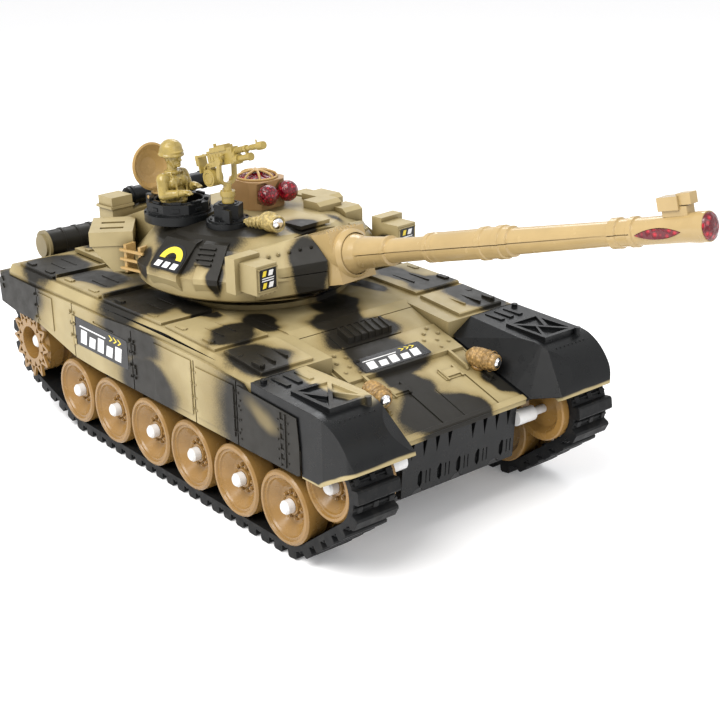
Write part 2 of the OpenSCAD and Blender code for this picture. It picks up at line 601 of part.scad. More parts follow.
// Armour panels along the cheeks as [angle, half width], each bevelled above and below the seam
panels = [[87.5, 10.6], [64, 6.2]];
module on_panels() both_sides() for (q = panels) rotate([0, 0, -q[0]]) side_extrude(-q[1], q[1]) children();
module turret_lower() in_turret() color(sand) {
    difference() {
        union() {
            rotate_extrude($fn = 96) polygon([[26, 77.4], [33, 77.4], [33, 79.5], [30, 79.5], [30, 86],
                [41, 87], [52, rim_z - 0.6], [rim_r - 1.2, rim_z], [rim_r, rim_z + 1],
                [rim_r + 1.6, seam_z],
                [rim_r - 1.2, seam_z], [rim_r - 2, rim_z + 2.4], [50, rim_z + 2], [26, rim_z + 2]]);
            // Rear overhang
            block([-72, -32, rim_z + 2], [-40, 32, seam_z]);
            on_panels() polygon([[55, seam_z], [55, 92.4], [58.4, 92.4], [62.6, 99], [62.6, seam_z]]);
        }
        block([-69.6, -29.6, rim_z + 4.2], [-40, 29.6, seam_z + 1]);
        rotate_extrude($fn = 96) polygon([[0, rim_z + 2], [rim_r - 6, rim_z + 2.4],
            [rim_r - 4, seam_z + 1], [0, seam_z + 1]]);
        block([38, -notch_half, 80], [80, notch_half, 130]);
        // Room for the cheeks of the upper half
        block([33.9, -40.3, cheek_z], [80, 40.3, seam_z + 1]);
    }
    // Cheek plates that carry the gun's trunnions
    both_sides() difference() {
        side_extrude(notch_half + 0.1, notch_half + 2.8) polygon([[40, cheek_z - 1.4], [50, cheek_z - 1.4],
            [50, 105.2], [47.5, 107.6], [40, 107.6]]);
        translate([trunnion[0], 0, trunnion[2]]) rod_y(3.06, 0, 30);
    }
}
module roof_profile(t) polygon([[0, 96], [rim_r + 1.6 - t, 96], [rim_r + 1.6 - t, seam_z + 0.6 - t / 3],
    [rim_r - 3.4 - t, 106 - t / 2], [rim_r - 9 - t, 112.4 - t * 0.8], [rim_r - 17, 116.8 - t],
    [rim_r - 24, roof_z - 0.6 - t], [rim_r - 28, roof_z - t], [0, roof_z - t]]);
module upper_bulk(t) {
    rotate_extrude($fn = 96) roof_profile(t);
    side_extrude(-32, 32) polygon([[-40, 96], [-72, 96], [-72, 104], [-66, 111], [-50, 117],
        [-30, roof_z]]);
    on_panels() polygon([[40, 104], [44, 115.4], [48.6, 114.6], [62.6, 101.6], [62.6, 96], [52, 96]]);
}
// Everything inside the turret's outer faces, cut from the fittings so that they sit on it
module turret_bulk() {
    upper_bulk(-seat);
    rotate_extrude($fn = 96) polygon([[0, rim_z], [rim_r - 1.2 + seat, rim_z], [rim_r + seat, rim_z + 1],
        [rim_r + 1.6 + seat, seam_z], [0, seam_z]]);
    on_panels() polygon([[50, seam_z], [50, 92.4], [58.4, 92.4], [62.6, 99], [62.6, seam_z]]);
}
module turret_upper() in_turret() color(sand) {
    difference() {
        upper_bulk(0);
        rotate_extrude($fn = 96) roof_profile(2.4);
        side_extrude(-29.6, 29.6) polygon([[-30, 96], [-69.6, 96], [-69.6, 103], [-64.6, 109],
            [-49, 114.4], [-30, 115]]);
        block([-90, -90, 90], [90, 90, seam_z]);
        block([38, -notch_half, 90], [80, notch_half, 108]);
        block([42.6, -notch_half, 96], [80, notch_half, 130]);
    }
    difference() {
        prow();
        // Groove where the two halves of the cheek meet
        both_sides() hull() {
            side_extrude(13, 13.2) polygon([[62, 103.6], [67, 103.6], [67, 104], [62, 104]]);
            side_extrude(41, 41.2) polygon([[42.6, 99.9], [48, 99.9], [48, 100.3], [42.6, 100.3]]);
        }
    }
    // Roof plate over the gun, rivets and the vent ribs on the right front panel
    block([12, -8, roof_z - 1], [42, 11, roof_z + 0.9]);
    both_sides() for (t = [0.1, 0.26, 0.42, 0.58, 0.72])
        translate([59.3, notch_half, 114.7] + t * [-19, 40 - notch_half, -5.2])
            rotate([0, 25, 0]) rivet(0.8, 1);
    rotate([0, 0, -66]) for (i = [0:3])
        translate([50.4 + i * 2.1, -1, 112.6 - i * 2]) rotate([0, 43, 0])
            block([-0.6, -4.6, -0.6], [0.6, 4, 1.3]);
}
module armour_blocks() in_turret() color(sand) both_sides() {
    // One pair beside the mantlet, each with a stepped plate behind and a framed front face
    block([47, 40.3, 99.6], [60, 52.8, 113.2]);
    difference() {
        block([42, 40.3, 98.4], [48.5, 55.6, 115.4]);
        turret_bulk();
    }
    block([59.8, 40.4, 101], [60.5, 52, 112]);
    for (z = [101.4, 111.6]) for (y = [40.8, 51.6])
        translate([60.4, y, z]) rotate([0, 90, 0]) rivet(0.5, 0.6);
    // A row of pegs under the front edge
    for (i = [0:4]) translate([59.2, 41 + i * 2.6, 98.9]) cylinder(r = 0.6, h = 0.8);
}
module box_with_lid(l, w, h) {
    cube([l, w, h - 2.4]);
    translate([-0.6, -0.6, h - 2.4]) cube([l + 1.2, w + 1.2, 2.4]);
}
// Step block: length, width and height, with its front top edge bevelled
module step_block(l, w, h) difference() {
    cube([l, w, h]);
    translate([l - 2.5, -1, h]) rotate([0, 35, 0]) cube([8, w + 2, 8]);
}
module stowage_boxes() in_turret() color(sand) {
    // Right rear box, set aslant: a lid with two slots over a tub that tapers to one side
    difference() {
        translate([-50, -65, 0]) rotate([0, 0, 50]) {
            difference() {
                block([-0.6, -0.6, 104.8], [21, 29.2, 112]);
                for (y = [6, 16.5]) block([4.4, y, 111], [16, y + 3.2, 113]);
            }
            translate([0, 28.6, 0]) side_extrude(-28.6, 0)
                polygon([[0, 104.8], [20.4, 104.8], [20.4, 91.4], [10, 91.4]]);
        }
        turret_bulk();
    }
    // Left rear box
    difference() {
        translate([-72, 40, 94]) box_with_lid(30, 17, 18);
        turret_bulk();
    }
    // Rear bin, with a taller locker on its right end
    difference() {
        union() {
            block([-84, -26, 95], [-72.2, 26, 112]);
            block([-84, -35, 98], [-72.2, -22, 120]);
            block([-85, -36, 114], [-71.6, -21.4, 115.4]);
        }
        for (y = [-20, -6, 8]) block([-85, y, 98], [-83, y + 11, 109]);
    }
    // Step blocks over the left cheek and the left roof
    difference() {
        for (b = [[14, 20, 116, 12, 15, 7], [0, 32, 112, 16, 14, 10], [22, 30, 110, 11.8, 12, 9.5],
                [-18, 40, 108, 18, 12, 10], [6, 44, 104, 15, 11, 10]])
            translate([b[0], b[1], b[2]]) step_block(b[3], b[4], b[5]);
        turret_bulk();
    }
}
module snorkel() in_turret() color(camo_black) translate([-79.5, 0, 117.2]) {
    rod_y(4.6, -20, 34);
    for (y = [-18, 6, 30]) rod_y(5.1, y, y + 2);
    for (y = [-12, 20]) block([-1.5, y, -5.2], [1.5, y + 3, 0]);
}
module tool_rack() in_turret() color(peach) difference() {
    translate([-51, -56, 99]) rotate([0, 0, 8]) {
        for (x = [16, 26]) block([x, -2.6, -6], [x + 1.8, 4, 8]);
        for (z = [-4.6, 0, 4.6]) block([14, -3.6, z], [30, -2.4, z + 1.2]);
    }
    turret_bulk();
}
led_at = [6.6, [3.2, 16.4], 127.2];
led_r = 5.3;
module receiver_box() in_turret() color([0.62, 0.38, 0.2]) difference() {
    translate([0, 0, roof_z]) linear_extrude(14)
        polygon([[3, 2], [3, 17], [-2, 22], [-17, 22], [-21, 18], [-21, 2], [-17, -2], [-2, -2]]);
    translate([-9, 10, 131]) cylinder(r = 9.2, h = 4);
    // Seats for the two lamps
    for (y = led_at[1]) translate([0, y, led_at[2]]) {
        rod_x(led_r + 0.1, 1.2, 5);
        rod_x(1.6, -1, 2);
    }
}
module receiver_lens() in_turret() {
    color([0.6, 0.03, 0.08]) translate([-9, 10, 131]) rotate_extrude()
        polygon([[0, 0], [9.1, 0], [9.1, 2.6], [5.6, 5.4], [3, 6.6], [0, 7]]);
}
module led_domes() in_turret() color([0.7, 0.02, 0.08]) for (y = led_at[1])
    translate([led_at[0], y, led_at[2]]) {
        sphere(r = led_r);
        rod_x(1.5, -7.2, 0);
    }
module cupola() in_turret() color(camo_black) translate([cupola_at[0], cupola_at[1], 0]) {
    difference() {
        union() {
            translate([0, 0, roof_z - 1.5]) cylinder(r = 17.6, h = 4.2);
            translate([0, 0, roof_z + 2.6]) cylinder(r = 15.6, h = 1.2);
            translate([0, 0, roof_z + 3.7]) rotate(22.5) cylinder(r = 16.2, h = 4.6, $fn = 8);
            both_sides() block([-20.4, 2.6, roof_z + 2], [-14, 5, roof_z + 8.6]);
        }
        translate([0, 0, roof_z + 1]) cylinder(r = 11.6, h = 12);
        translate([hatch_at[0] - cupola_at[0], 0, hatch_at[2]]) rod_y(1.06, -6, 6);
        translate([-cupola_at[0], -cupola_at[1], 0]) turret_bulk();
    }
}
// Domed lid, standing open behind the crewman
module hatch_lid() in_turret() color(peach) translate(hatch_at) {
    rod_y(1, -4.9, 4.9);
    rod_y(1.8, -2.2, 2.2);
    rotate([0, -8, 0]) translate([0, 0, 14.5]) rotate([0, -90, 0]) rotate_extrude()
        polygon([[0, 4.8], [5, 4.3], [9, 2.6], [11.6, 0], [12, -0.6], [10.9, -0.9], [8.4, 1.4],
            [4.6, 3], [0, 3.4]]);
    rotate([0, -8, 0]) block([-1, -2, 0], [0.8, 2, 4.4]);
}
module limb(a, b, r) hull() {
    translate(a) sphere(r = r, $fn = 16);
    translate(b) sphere(r = r * 0.85, $fn = 16);
}
module figure() in_turret() color(mustard) translate([-24, -31.5, 0]) rotate([0, 0, 14]) {
    translate([0, 0, 120.4]) cylinder(r = 7, h = 15);
    hull() {
        translate([0, -5.6, 138]) sphere(r = 4, $fn = 20);
        translate([0, 5.6, 138]) sphere(r = 4, $fn = 20);
        translate([0, 0, 126.6]) sphere(r = 6, $fn = 20);
    }
    translate([0.6, 0, 140]) cylinder(r = 2.8, h = 6);
    translate([0.8, 0, 148.6]) sphere(r = 4.9);
    translate([0, 0, 150.4]) sphere(r = 6);
    limb([0, -8.6, 138], [1.5, -9.6, 130.8], 2.7);
    limb([1.5, -9.6, 130.8], [10.4, -4, 132], 2.3);
    limb([0, 8.6, 138], [2.5, 9.2, 131], 2.7);
    limb([2.5, 9.2, 131], [11, 4.6, 134.4], 2.3);
}
module mg_pedestal() in_turret() color(camo_black) translate([mg_at[0], mg_at[1], 0]) difference() {
    union() {
        translate([0, 0, roof_z - 3]) cylinder(r = 11.2, h = 5);
        translate([0, 0, roof_z + 1.9]) cylinder(r = 10, h = 1);
        translate([0, 0, roof_z + 2.8]) cylinder(r = 7.2, h = 7.2, $fn = 6);
        block([4, -7.6, roof_z + 2.6], [9.4, -6, roof_z + 9]);
    }
    translate([0, 0, roof_z + 4]) cylinder(r = 2.06, h = 10);
    translate([-mg_at[0], -mg_at[1], 0]) turret_bulk();
}
module mg_yoke() in_turret() color(mustard) translate([mg_at[0], mg_at[1], 0]) {
    translate([0, 0, roof_z + 5]) cylinder(r = 2, h = 8);
    translate([0, 0, roof_z + 10.3]) cylinder(r = 3, h = 3.4);
    translate([0, 0, roof_z + 13.6]) cylinder(r = 3.6, h = 2.6);
    translate([0, 0, roof_z + 16]) cylinder(r = 2, h = 4);
    cross_extrude(-1.2, 1.2) difference() {
        union() {
            translate([0, 143]) circle(r = 5.4);
            translate([-5.4, 143]) square([10.8, 8.4]);
        }
        translate([0, 143]) circle(r = 3.9);
        translate([-3.9, 143]) square([7.8, 10]);
    }
    both_sides() translate([0, 4.6, mg_at[2]]) rod_y(2, -0.7, 0.8);
    both_sides() translate([0, 0, mg_at[2]]) rod_y(0.9, 2.5, 4.2);
}
module machine_gun() in_turret() color(mustard) translate(mg_at) rotate([0, -mg_rise, 0]) {
    difference() {
        union() {
            block([-11, -2.2, -2.2], [8, 2.2, 5.6]);
            translate([8, 0, 1.8]) rotate([0, 90, 0]) cylinder(r = 2.2, h = 1.2);
        }
        rod_y(0.96, -6, 6);
    }
    translate([0, 0, 3.4]) {
        rod_x(1.15, 7, 26);
        rod_x(1.7, 15.6, 17.2);
        rod_x(1.8, 25, 29.4);
    }
    translate([0, 0, -0.6]) {
        rod_x(2.4, 7.9, 10.4);
        rod_x(1.5, 10.3, 17.6);
        rod_x(1.9, 17.5, 19);
    }
    block([15.8, -0.6, -0.6], [17, 0.6, 3.4]);
    block([-8, -2.6, 4.6], [4, 2.6, 6.9]);
    // Spade grips
    both_sides() block([-18, 1.6, 3.6], [-10.9, 2.6, 4.6]);
    block([-18.8, -2.6, -4], [-17.8, 2.6, 4.6]);
    block([-18, -0.6, -3.8], [-10.9, 0.6, -1.4]);
    // Ammunition drum under the rear
    translate([-12.6, 0, -7]) rod_y(4.2, -3, 3);
    block([-14, -1.4, -4], [-10.9, 1.4, 0]);
}
searchlight_at = [28, -20, 119.6];
module searchlight() in_turret() {
    translate(searchlight_at) rotate([0, 0, -4]) {
        color(mustard) {
            translate([0, 0, 3.4]) rotate([0, 90, 0]) rotate_extrude()
                polygon([[0, -3], [3.4, -2], [4.6, 1], [5, 5], [4.4, 9.4], [3.4, 10], [3.2, 8], [0, 8]]);
            rotate([0, 0, 150]) block([0, -3.4, -0.6], [13, 3.4, 4.4]);
            translate([-2, 0, -0.6]) cylinder(r = 2.6, h = 2);
        }
        color("silver") translate([7.9, 0, 3.4]) rod_x(3.2, 0, 1.4);
    }
}

// ---- Gun --------------------------------------------------------------
// Radius along the gun from the mantlet face, as [distance, radius]
barrel_steps = [[22, 0], [22, 9.8], [25, 9.6], [28.5, 8.6], [31, 7.7], [47, 6.6], [47.4, 7], [49.4, 7],
    [49.8, 5.7], [73.4, 5.3], [73.6, 6.7], [76, 6.7], [76.2, 6.3], [79, 6.3], [79.2, 6.8], [81, 6.6],
    [104.6, 6.6], [105, 7.3], [107.6, 7.3], [108, 6.8], [114, 6.8], [114.4, 7.3], [117.6, 7.3],
    [118, 6.7], [121.6, 6.6], [122, 5.7], [172, 5], [172.4, 6.2], [176, 6.2], [176.4, 5.5], [181, 5.6],
    [181.4, 6.1], [183.6, 6.1], [184, 5.4], [206, 5.6], [211, 6], [gun_length, 5.8], [gun_length, 0]];
module leaf(length, width) intersection() {
    r = (length * length / 4 + width * width / 4) / width;
    translate([0, r - width / 2]) circle(r = r, $fn = 96);
    translate([0, -r + width / 2]) circle(r = r, $fn = 96);
}
leaf_at = 195.4;
module gun_barrel() in_gun() color(peach) {
    difference() {
        rotate([0, 90, 0]) rotate_extrude() polygon([for (p = barrel_steps) [p[1], p[0]]]);
        rod_x(4.5, 184, gun_length + 1);
        side_extrude(-10, 10) translate([leaf_at, -0.6]) leaf(21, 4.4);
        // Split line between the two halves of the barrel moulding
        both_sides() block([32, 4.9, -0.18], [183, 9, 0.18]);
    }
    block([197, -2.6, 5], [208, 2.6, 8.6]);
    block([196, -3.6, 7.4], [205, 3.6, 12.6]);
    block([204, -2.4, 9], [210, 2.4, 13.4]);
}
module muzzle_lens() in_gun() color([0.7, 0.02, 0.08]) {
    rod_x(4.4, 184.4, gun_length);
    rotate([0, 90, 0]) rotate_extrude() polygon([[0, gun_length - 0.1], [5.4, gun_length],
        [5.2, gun_length + 0.8], [3.4, gun_length + 1.7], [0, gun_length + 2]]);
    side_extrude(-5.7, 5.7) translate([leaf_at, -0.6]) leaf(20.4, 4);
}
module mantlet() in_gun() color(peach) {
    difference() {
        union() {
            rotate([0, 90, 0]) rotate_extrude()
                polygon([[0, 20], [11.9, 20], [11.9, 24], [10.4, 25.6], [9.4, 26.2], [0, 26.2]]);
            intersection() {
                translate([0, 0, -12.6]) linear_extrude(25.2)
                    polygon([[2, -13.2], [12, -13.2], [26, -10.8], [26, 10.8], [12, 13.2], [2, 13.2]]);
                side_extrude(-20, 20)
                    polygon([[2, -8], [9, -12.4], [24.8, -12.4], [21.6, 12.1], [4, 12.1], [2, 8]]);
            }
            rod_y(6, -13, 13);
            rod_y(3, -16.2, 16.2);
        }
        rotate([0, 90, 0]) translate([0, 0, 22]) cylinder(r = 9.9, h = 10);
    }
    for (i = [-4:4]) translate([18.4, i * 2.3, 12]) rivet(0.6, 0.8);
}

lower_hull();
upper_hull();
skirt(-1);  // side_skirt_right
skirt(1);  // side_skirt_left
mudguard(-1);  // mudguard_right
mudguard(1);  // mudguard_left
front_plate();
battery_cover();
battery_pack();
control_board();
speaker();
drive_gearboxes();
motors();
power_switch();
hull_screws();
fuel_drums();
headlights();
headlight_lenses();
track(-1);  // track_right
track(1);  // track_left
axle_stubs(-1);  // axle_stubs_right
axle_stubs(1);  // axle_stubs_left
for (i = [1:6]) road_wheel(i, -1);
for (i = [1:6]) road_wheel(i, 1);
sprocket(-1);  // sprocket_right
sprocket(1);  // sprocket_left
idler(-1);  // idler_right
idler(1);  // idler_left
drive_shaft(-1);  // drive_shaft_right
drive_shaft(1);  // drive_shaft_left
turret_lower();
turret_upper();
armour_blocks();
stowage_boxes();
snorkel();
tool_rack();
receiver_box();
receiver_lens();
led_domes();
cupola();
hatch_lid();
figure();
mg_pedestal();
mg_yoke();
machine_gun();
searchlight();
mantlet();
gun_barrel();
muzzle_lens();
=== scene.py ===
"""The looks of the radio-controlled tank: materials, camouflage, moulded detail, stickers, light and camera.

Lengths in the tables below are millimetres in the hull's own frame (X from the middle of the wheelbase,
Y to the left, Z from a datum just under the ground) or in the turret's frame, and hull() and turret()
turn them into the model's metres.
"""

import json
import math

import bmesh
import bpy
from mathutils import Matrix, Vector


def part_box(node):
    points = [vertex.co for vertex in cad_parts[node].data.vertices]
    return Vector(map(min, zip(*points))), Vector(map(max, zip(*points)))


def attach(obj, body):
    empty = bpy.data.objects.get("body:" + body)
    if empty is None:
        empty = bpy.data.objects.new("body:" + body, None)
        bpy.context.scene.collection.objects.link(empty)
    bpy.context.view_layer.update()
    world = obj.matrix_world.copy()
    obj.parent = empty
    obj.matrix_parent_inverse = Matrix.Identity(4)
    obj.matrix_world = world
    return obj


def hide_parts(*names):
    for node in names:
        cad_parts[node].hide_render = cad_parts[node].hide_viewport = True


MM = 0.001
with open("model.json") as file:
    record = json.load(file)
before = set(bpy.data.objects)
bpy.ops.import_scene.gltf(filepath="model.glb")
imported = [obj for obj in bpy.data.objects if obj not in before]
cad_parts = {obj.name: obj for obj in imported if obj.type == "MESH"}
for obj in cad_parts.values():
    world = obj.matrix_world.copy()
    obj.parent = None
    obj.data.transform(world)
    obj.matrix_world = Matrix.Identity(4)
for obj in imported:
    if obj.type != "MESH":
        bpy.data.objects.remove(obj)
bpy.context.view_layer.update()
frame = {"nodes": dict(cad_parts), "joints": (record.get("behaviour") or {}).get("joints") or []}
NODES = frame["nodes"]
JOINTS = {joint["name"]: joint for joint in frame["joints"]}


# ---- Frames -----------------------------------------------------------


def centre_of(node):
    low, high = (Vector(corner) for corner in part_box(node))
    return (low + high) / 2


# Height of the road wheels' axles over the hull's datum
WHEEL_Z = 25.5
MID_WHEELS = (centre_of("road_wheel_right_3") + centre_of("road_wheel_right_4")) / 2
HULL_ORIGIN = Vector((MID_WHEELS.x, 0, MID_WHEELS.z - WHEEL_Z * MM))
RING = Vector(JOINTS["turret_turn"]["pos_m"])
GUN_AXIS = Vector(JOINTS["gun_elevation"]["axis"])
TURRET_TURN = math.atan2(GUN_AXIS.x, -GUN_AXIS.y)
TURRET_FRAME = Matrix.Translation((RING.x, RING.y, HULL_ORIGIN.z)) @ Matrix.Rotation(TURRET_TURN, 4, "Z")


def hull(x, y, z):
    return HULL_ORIGIN + Vector((x, y, z)) * MM


def turret(a, b, z):
    return TURRET_FRAME @ (Vector((a, b, z)) * MM)


# ---- Camera, light and floor -----------------------------------------

# Where the camera stands in the hull's frame, its angles in degrees, its lens, film and nearest distance
CAMERA_AT = (517.4, -384.4, 290.4)
CAMERA_HEADING = 140.65
CAMERA_DOWN = 20.66
CAMERA_ROLL = -0.98
CAMERA_LENS = 68.7
CAMERA_FILM = 36
CAMERA_NEAR = 0.01

WORLD_STRENGTH = 0.85
FLOOR_REACH = 14.0
FLOOR_DROP = 0.0002
LIGHTS_AIM = (0, 0, 0.08)
# Area lights: name, place and size in metres, power in watts, colour
LIGHTS = (
    ("key", (0.15, -0.75, 1.05), (0.9, 0.8), 17, (1, 0.98, 0.95)),
    ("front", (1.1, 0.25, 0.75), (0.7, 0.7), 2.5, (1, 1, 1)),
    ("back", (-0.8, 0.7, 0.9), (0.6, 0.4), 3.5, (0.97, 0.98, 1)),
)


def look_matrix(heading, down, roll):
    """A camera's axes from its heading, its dip below the horizon and its roll, in degrees."""
    h, d, r = (math.radians(v) for v in (heading, down, roll))
    ahead = Vector((math.cos(d) * math.cos(h), math.cos(d) * math.sin(h), -math.sin(d)))
    right = ahead.cross(Vector((0, 0, 1))).normalized()
    up = right.cross(ahead)
    right, up = right * math.cos(r) + up * math.sin(r), up * math.cos(r) - right * math.sin(r)
    return Matrix((right, up, -ahead)).transposed().to_4x4()


def add_camera():
    data = bpy.data.cameras.new("camera")
    data.lens = CAMERA_LENS
    data.sensor_width = CAMERA_FILM
    data.clip_start = CAMERA_NEAR
    camera = bpy.data.objects.new("camera", data)
    bpy.context.collection.objects.link(camera)
    camera.matrix_world = Matrix.Translation(hull(*CAMERA_AT)) @ look_matrix(
        CAMERA_HEADING, CAMERA_DOWN, CAMERA_ROLL
    )
    bpy.context.scene.camera = camera


def add_area_light(name, at, size, power, colour):
    data = bpy.data.lights.new(name, "AREA")
    data.shape = "RECTANGLE"
    data.size, data.size_y = size
    data.energy = power
    data.color = colour
    light = bpy.data.objects.new(name, data)
    light.location = at
    light.rotation_euler = (Vector(LIGHTS_AIM) - Vector(at)).to_track_quat("-Z", "Y").to_euler()
    bpy.context.collection.objects.link(light)


def add_studio():
    world = bpy.data.worlds.new("studio")
    bpy.context.scene.world = world
    world.use_nodes = True
    background = world.node_tree.nodes["Background"]
    background.inputs["Color"].default_value = (1, 1, 1, 1)
    background.inputs["Strength"].default_value = WORLD_STRENGTH
    bpy.context.scene.view_settings.view_transform = "Standard"
    for light in LIGHTS:
        add_area_light(*light)
    mesh = bpy.data.meshes.new("floor")
    r = FLOOR_REACH
    mesh.from_pydata([(-r, -r, 0), (r, -r, 0), (r, r, 0), (-r, r, 0)], [], [(0, 1, 2, 3)])
    floor = bpy.data.objects.new("floor", mesh)
    floor.location.z = -FLOOR_DROP
    bpy.context.collection.objects.link(floor)
    graph = Graph("floor_white")
    graph.finish(base=(0.93, 0.93, 0.94), roughness=0.5, Emission_Color=(1, 1, 1), Emission_Strength=0.14)
    mesh.materials.append(graph.material)


# ---- Materials --------------------------------------------------------


class Graph:
    """A node material, built by short calls that return sockets."""

    def __init__(self, name):
        self.material = bpy.data.materials.new(name)
        self.material.use_nodes = True
        self.tree = self.material.node_tree
        self.shader = self.tree.nodes["Principled BSDF"]
        self.coordinates = self.add("ShaderNodeTexCoord").outputs["Object"]

    def add(self, kind, **settings):
        node = self.tree.nodes.new(kind)
        for key, value in settings.items():
            setattr(node, key, value)
        return node

    def put(self, socket, value):
        if isinstance(value, bpy.types.NodeSocket):
            self.tree.links.new(value, socket)
        elif isinstance(value, tuple) and len(value) == 3 and socket.type == "RGBA":
            socket.default_value = (*value, 1)
        else:
            socket.default_value = value

    def math(self, operation, first, second=0.0, third=0.0):
        node = self.add("ShaderNodeMath", operation=operation)
        for socket, value in zip(node.inputs, (first, second, third)):
            self.put(socket, value)
        return node.outputs[0]

    def vector(self, operation, *values):
        node = self.add("ShaderNodeVectorMath", operation=operation)
        for socket, value in zip(node.inputs, values):
            self.put(socket, value)
        return node.outputs["Value" if operation in ("LENGTH", "DISTANCE", "DOT_PRODUCT") else "Vector"]

    def noise(self, scale, detail=3.0, roughness=0.55, colour=False):
        node = self.add("ShaderNodeTexNoise")
        self.put(node.inputs["Vector"], self.coordinates)
        self.put(node.inputs["Scale"], scale)
        self.put(node.inputs["Detail"], detail)
        self.put(node.inputs["Roughness"], roughness)
        return node.outputs["Color" if colour else "Fac"]

    def spread(self, value, low, high, to_low=0.0, to_high=1.0, smooth=False):
        node = self.add("ShaderNodeMapRange")
        node.interpolation_type = "SMOOTHSTEP" if smooth else "LINEAR"
        values = (value, low, high, to_low, to_high)
        for name, item in zip(("Value", "From Min", "From Max", "To Min", "To Max"), values):
            self.put(node.inputs[name], item)
        return node.outputs["Result"]

    def gloss(self, scale, low, high, detail=3.0):
        """A roughness that wanders between two values."""
        return self.spread(self.noise(scale, detail), 0.3, 0.7, low, high)

    def mix(self, factor, first, second):
        node = self.add("ShaderNodeMix", data_type="RGBA")
        self.put(node.inputs["Factor"], factor)
        self.put(node.inputs["A"], first)
        self.put(node.inputs["B"], second)
        return node.outputs["Result"]

    def bump(self, height, distance, strength=1.0, normal=None):
        node = self.add("ShaderNodeBump")
        self.put(node.inputs["Height"], height)
        self.put(node.inputs["Distance"], distance)
        self.put(node.inputs["Strength"], strength)
        if normal is not None:
            self.put(node.inputs["Normal"], normal)
        return node.outputs["Normal"]

    def finish(self, base=None, roughness=0.5, normal=None, **others):
        if base is not None:
            self.put(self.shader.inputs["Base Color"], base)
        self.put(self.shader.inputs["Roughness"], roughness)
        if normal is not None:
            self.put(self.shader.inputs["Normal"], normal)
        for name, value in others.items():
            self.put(self.shader.inputs[name.replace("_", " ")], value)
        return self.material


# Colours, as linear red, green and blue
SAND = (0.37, 0.30, 0.155)
BLACK = (0.0065, 0.007, 0.0075)
SPOT = (0.012, 0.0105, 0.0075)
OCHRE = (0.27, 0.15, 0.042)
PEACH = (0.42, 0.27, 0.10)
MUSTARD = (0.34, 0.25, 0.065)
BROWN = (0.32, 0.19, 0.08)
WHITE = (0.70, 0.70, 0.70)
YELLOW = (0.80, 0.62, 0.05)
RUBBER = (0.006, 0.0065, 0.007)
CREAM = (0.42, 0.30, 0.135)
OVERSPRAY = (0.19, 0.135, 0.045)
# The colour of the painted shade that darkens the sand in corners and recesses
CORNER_SHADE = (0.13, 0.095, 0.035)

# How far, in mm, the painted shade reaches out of a corner, and how far the rims of the patches wander
SHADE_REACH = 7
WANDER = 9
# How deep a patch goes along the axis it has no width for, in metres, and how softly patches run together
PATCH_DEPTH = 10.0
PATCH_JOIN = 0.25
BEVEL_SAMPLES, NOOK_SAMPLES = 4, 6


def scaled(colour, factor):
    return tuple(min(1.0, channel * factor) for channel in colour)


def moulded(graph, colour, roughness=0.4, edge=0.25, grain=1.0, **others):
    """Moulded plastic: a faint cloudiness, uneven gloss, a fine grain and softly rounded edges."""
    cloud = graph.spread(graph.noise(70, 3), 0.35, 0.65)
    tint = graph.vector("MULTIPLY", colour, graph.mix(cloud, (0.93, 0.93, 0.92), (1.04,) * 3))
    gloss = graph.gloss(160, roughness - 0.06, roughness + 0.09, detail=4)
    rounded = graph.add("ShaderNodeBevel", samples=BEVEL_SAMPLES)
    graph.put(rounded.inputs["Radius"], edge * MM)
    fine = graph.bump(graph.noise(2600, 2), 0.03 * MM * grain, 0.5, rounded.outputs["Normal"])
    waves = graph.bump(graph.noise(90, 1), 0.12 * MM * grain, 0.35, fine)
    others.setdefault("Specular_IOR_Level", 0.3)
    return graph.finish(tint, gloss, waves, **others)


def plain(name, colour, roughness=0.4, edge=0.25, grain=1.0, **others):
    return moulded(Graph(name), colour, roughness, edge, grain, **others)


def blob_field(graph, blobs, place, plane, wander=WANDER):
    """How far each point is from the nearest blob, 1 on its rim.

    A blob is its middle, its half widths and a turn in degrees, given in two axes for plane "xy" or "xz", or
    in three for plane "xyz".
    """
    drift = graph.vector("SUBTRACT", graph.noise(55, 1.5, colour=True), (0.5, 0.5, 0.5))
    at = graph.vector("MULTIPLY_ADD", drift, (wander * MM,) * 3, graph.coordinates)
    nearest = None
    for blob in blobs:
        if plane == "xyz":
            a, b, z, ra, rb, rz, turn = blob
            middle, widths = place(a, b, z), (ra * MM, rb * MM, rz * MM)
            spin = (0, 0, math.radians(turn) + TURRET_TURN)
        elif plane == "xy":
            x, y, rx, ry, turn = blob
            middle, widths = place(x, y, 0), (rx * MM, ry * MM, PATCH_DEPTH)
            spin = (0, 0, math.radians(turn))
        else:
            x, z, rx, rz, turn = blob
            middle, widths = place(x, 0, z), (rx * MM, PATCH_DEPTH, rz * MM)
            spin = (0, -math.radians(turn), 0)
        mapping = graph.add("ShaderNodeMapping", vector_type="TEXTURE")
        graph.put(mapping.inputs["Vector"], at)
        graph.put(mapping.inputs["Location"], tuple(middle))
        graph.put(mapping.inputs["Rotation"], spin)
        graph.put(mapping.inputs["Scale"], widths)
        distance = graph.vector("LENGTH", mapping.outputs["Vector"])
        nearest = distance if nearest is None else graph.math("SMOOTH_MIN", nearest, distance, PATCH_JOIN)
    return nearest


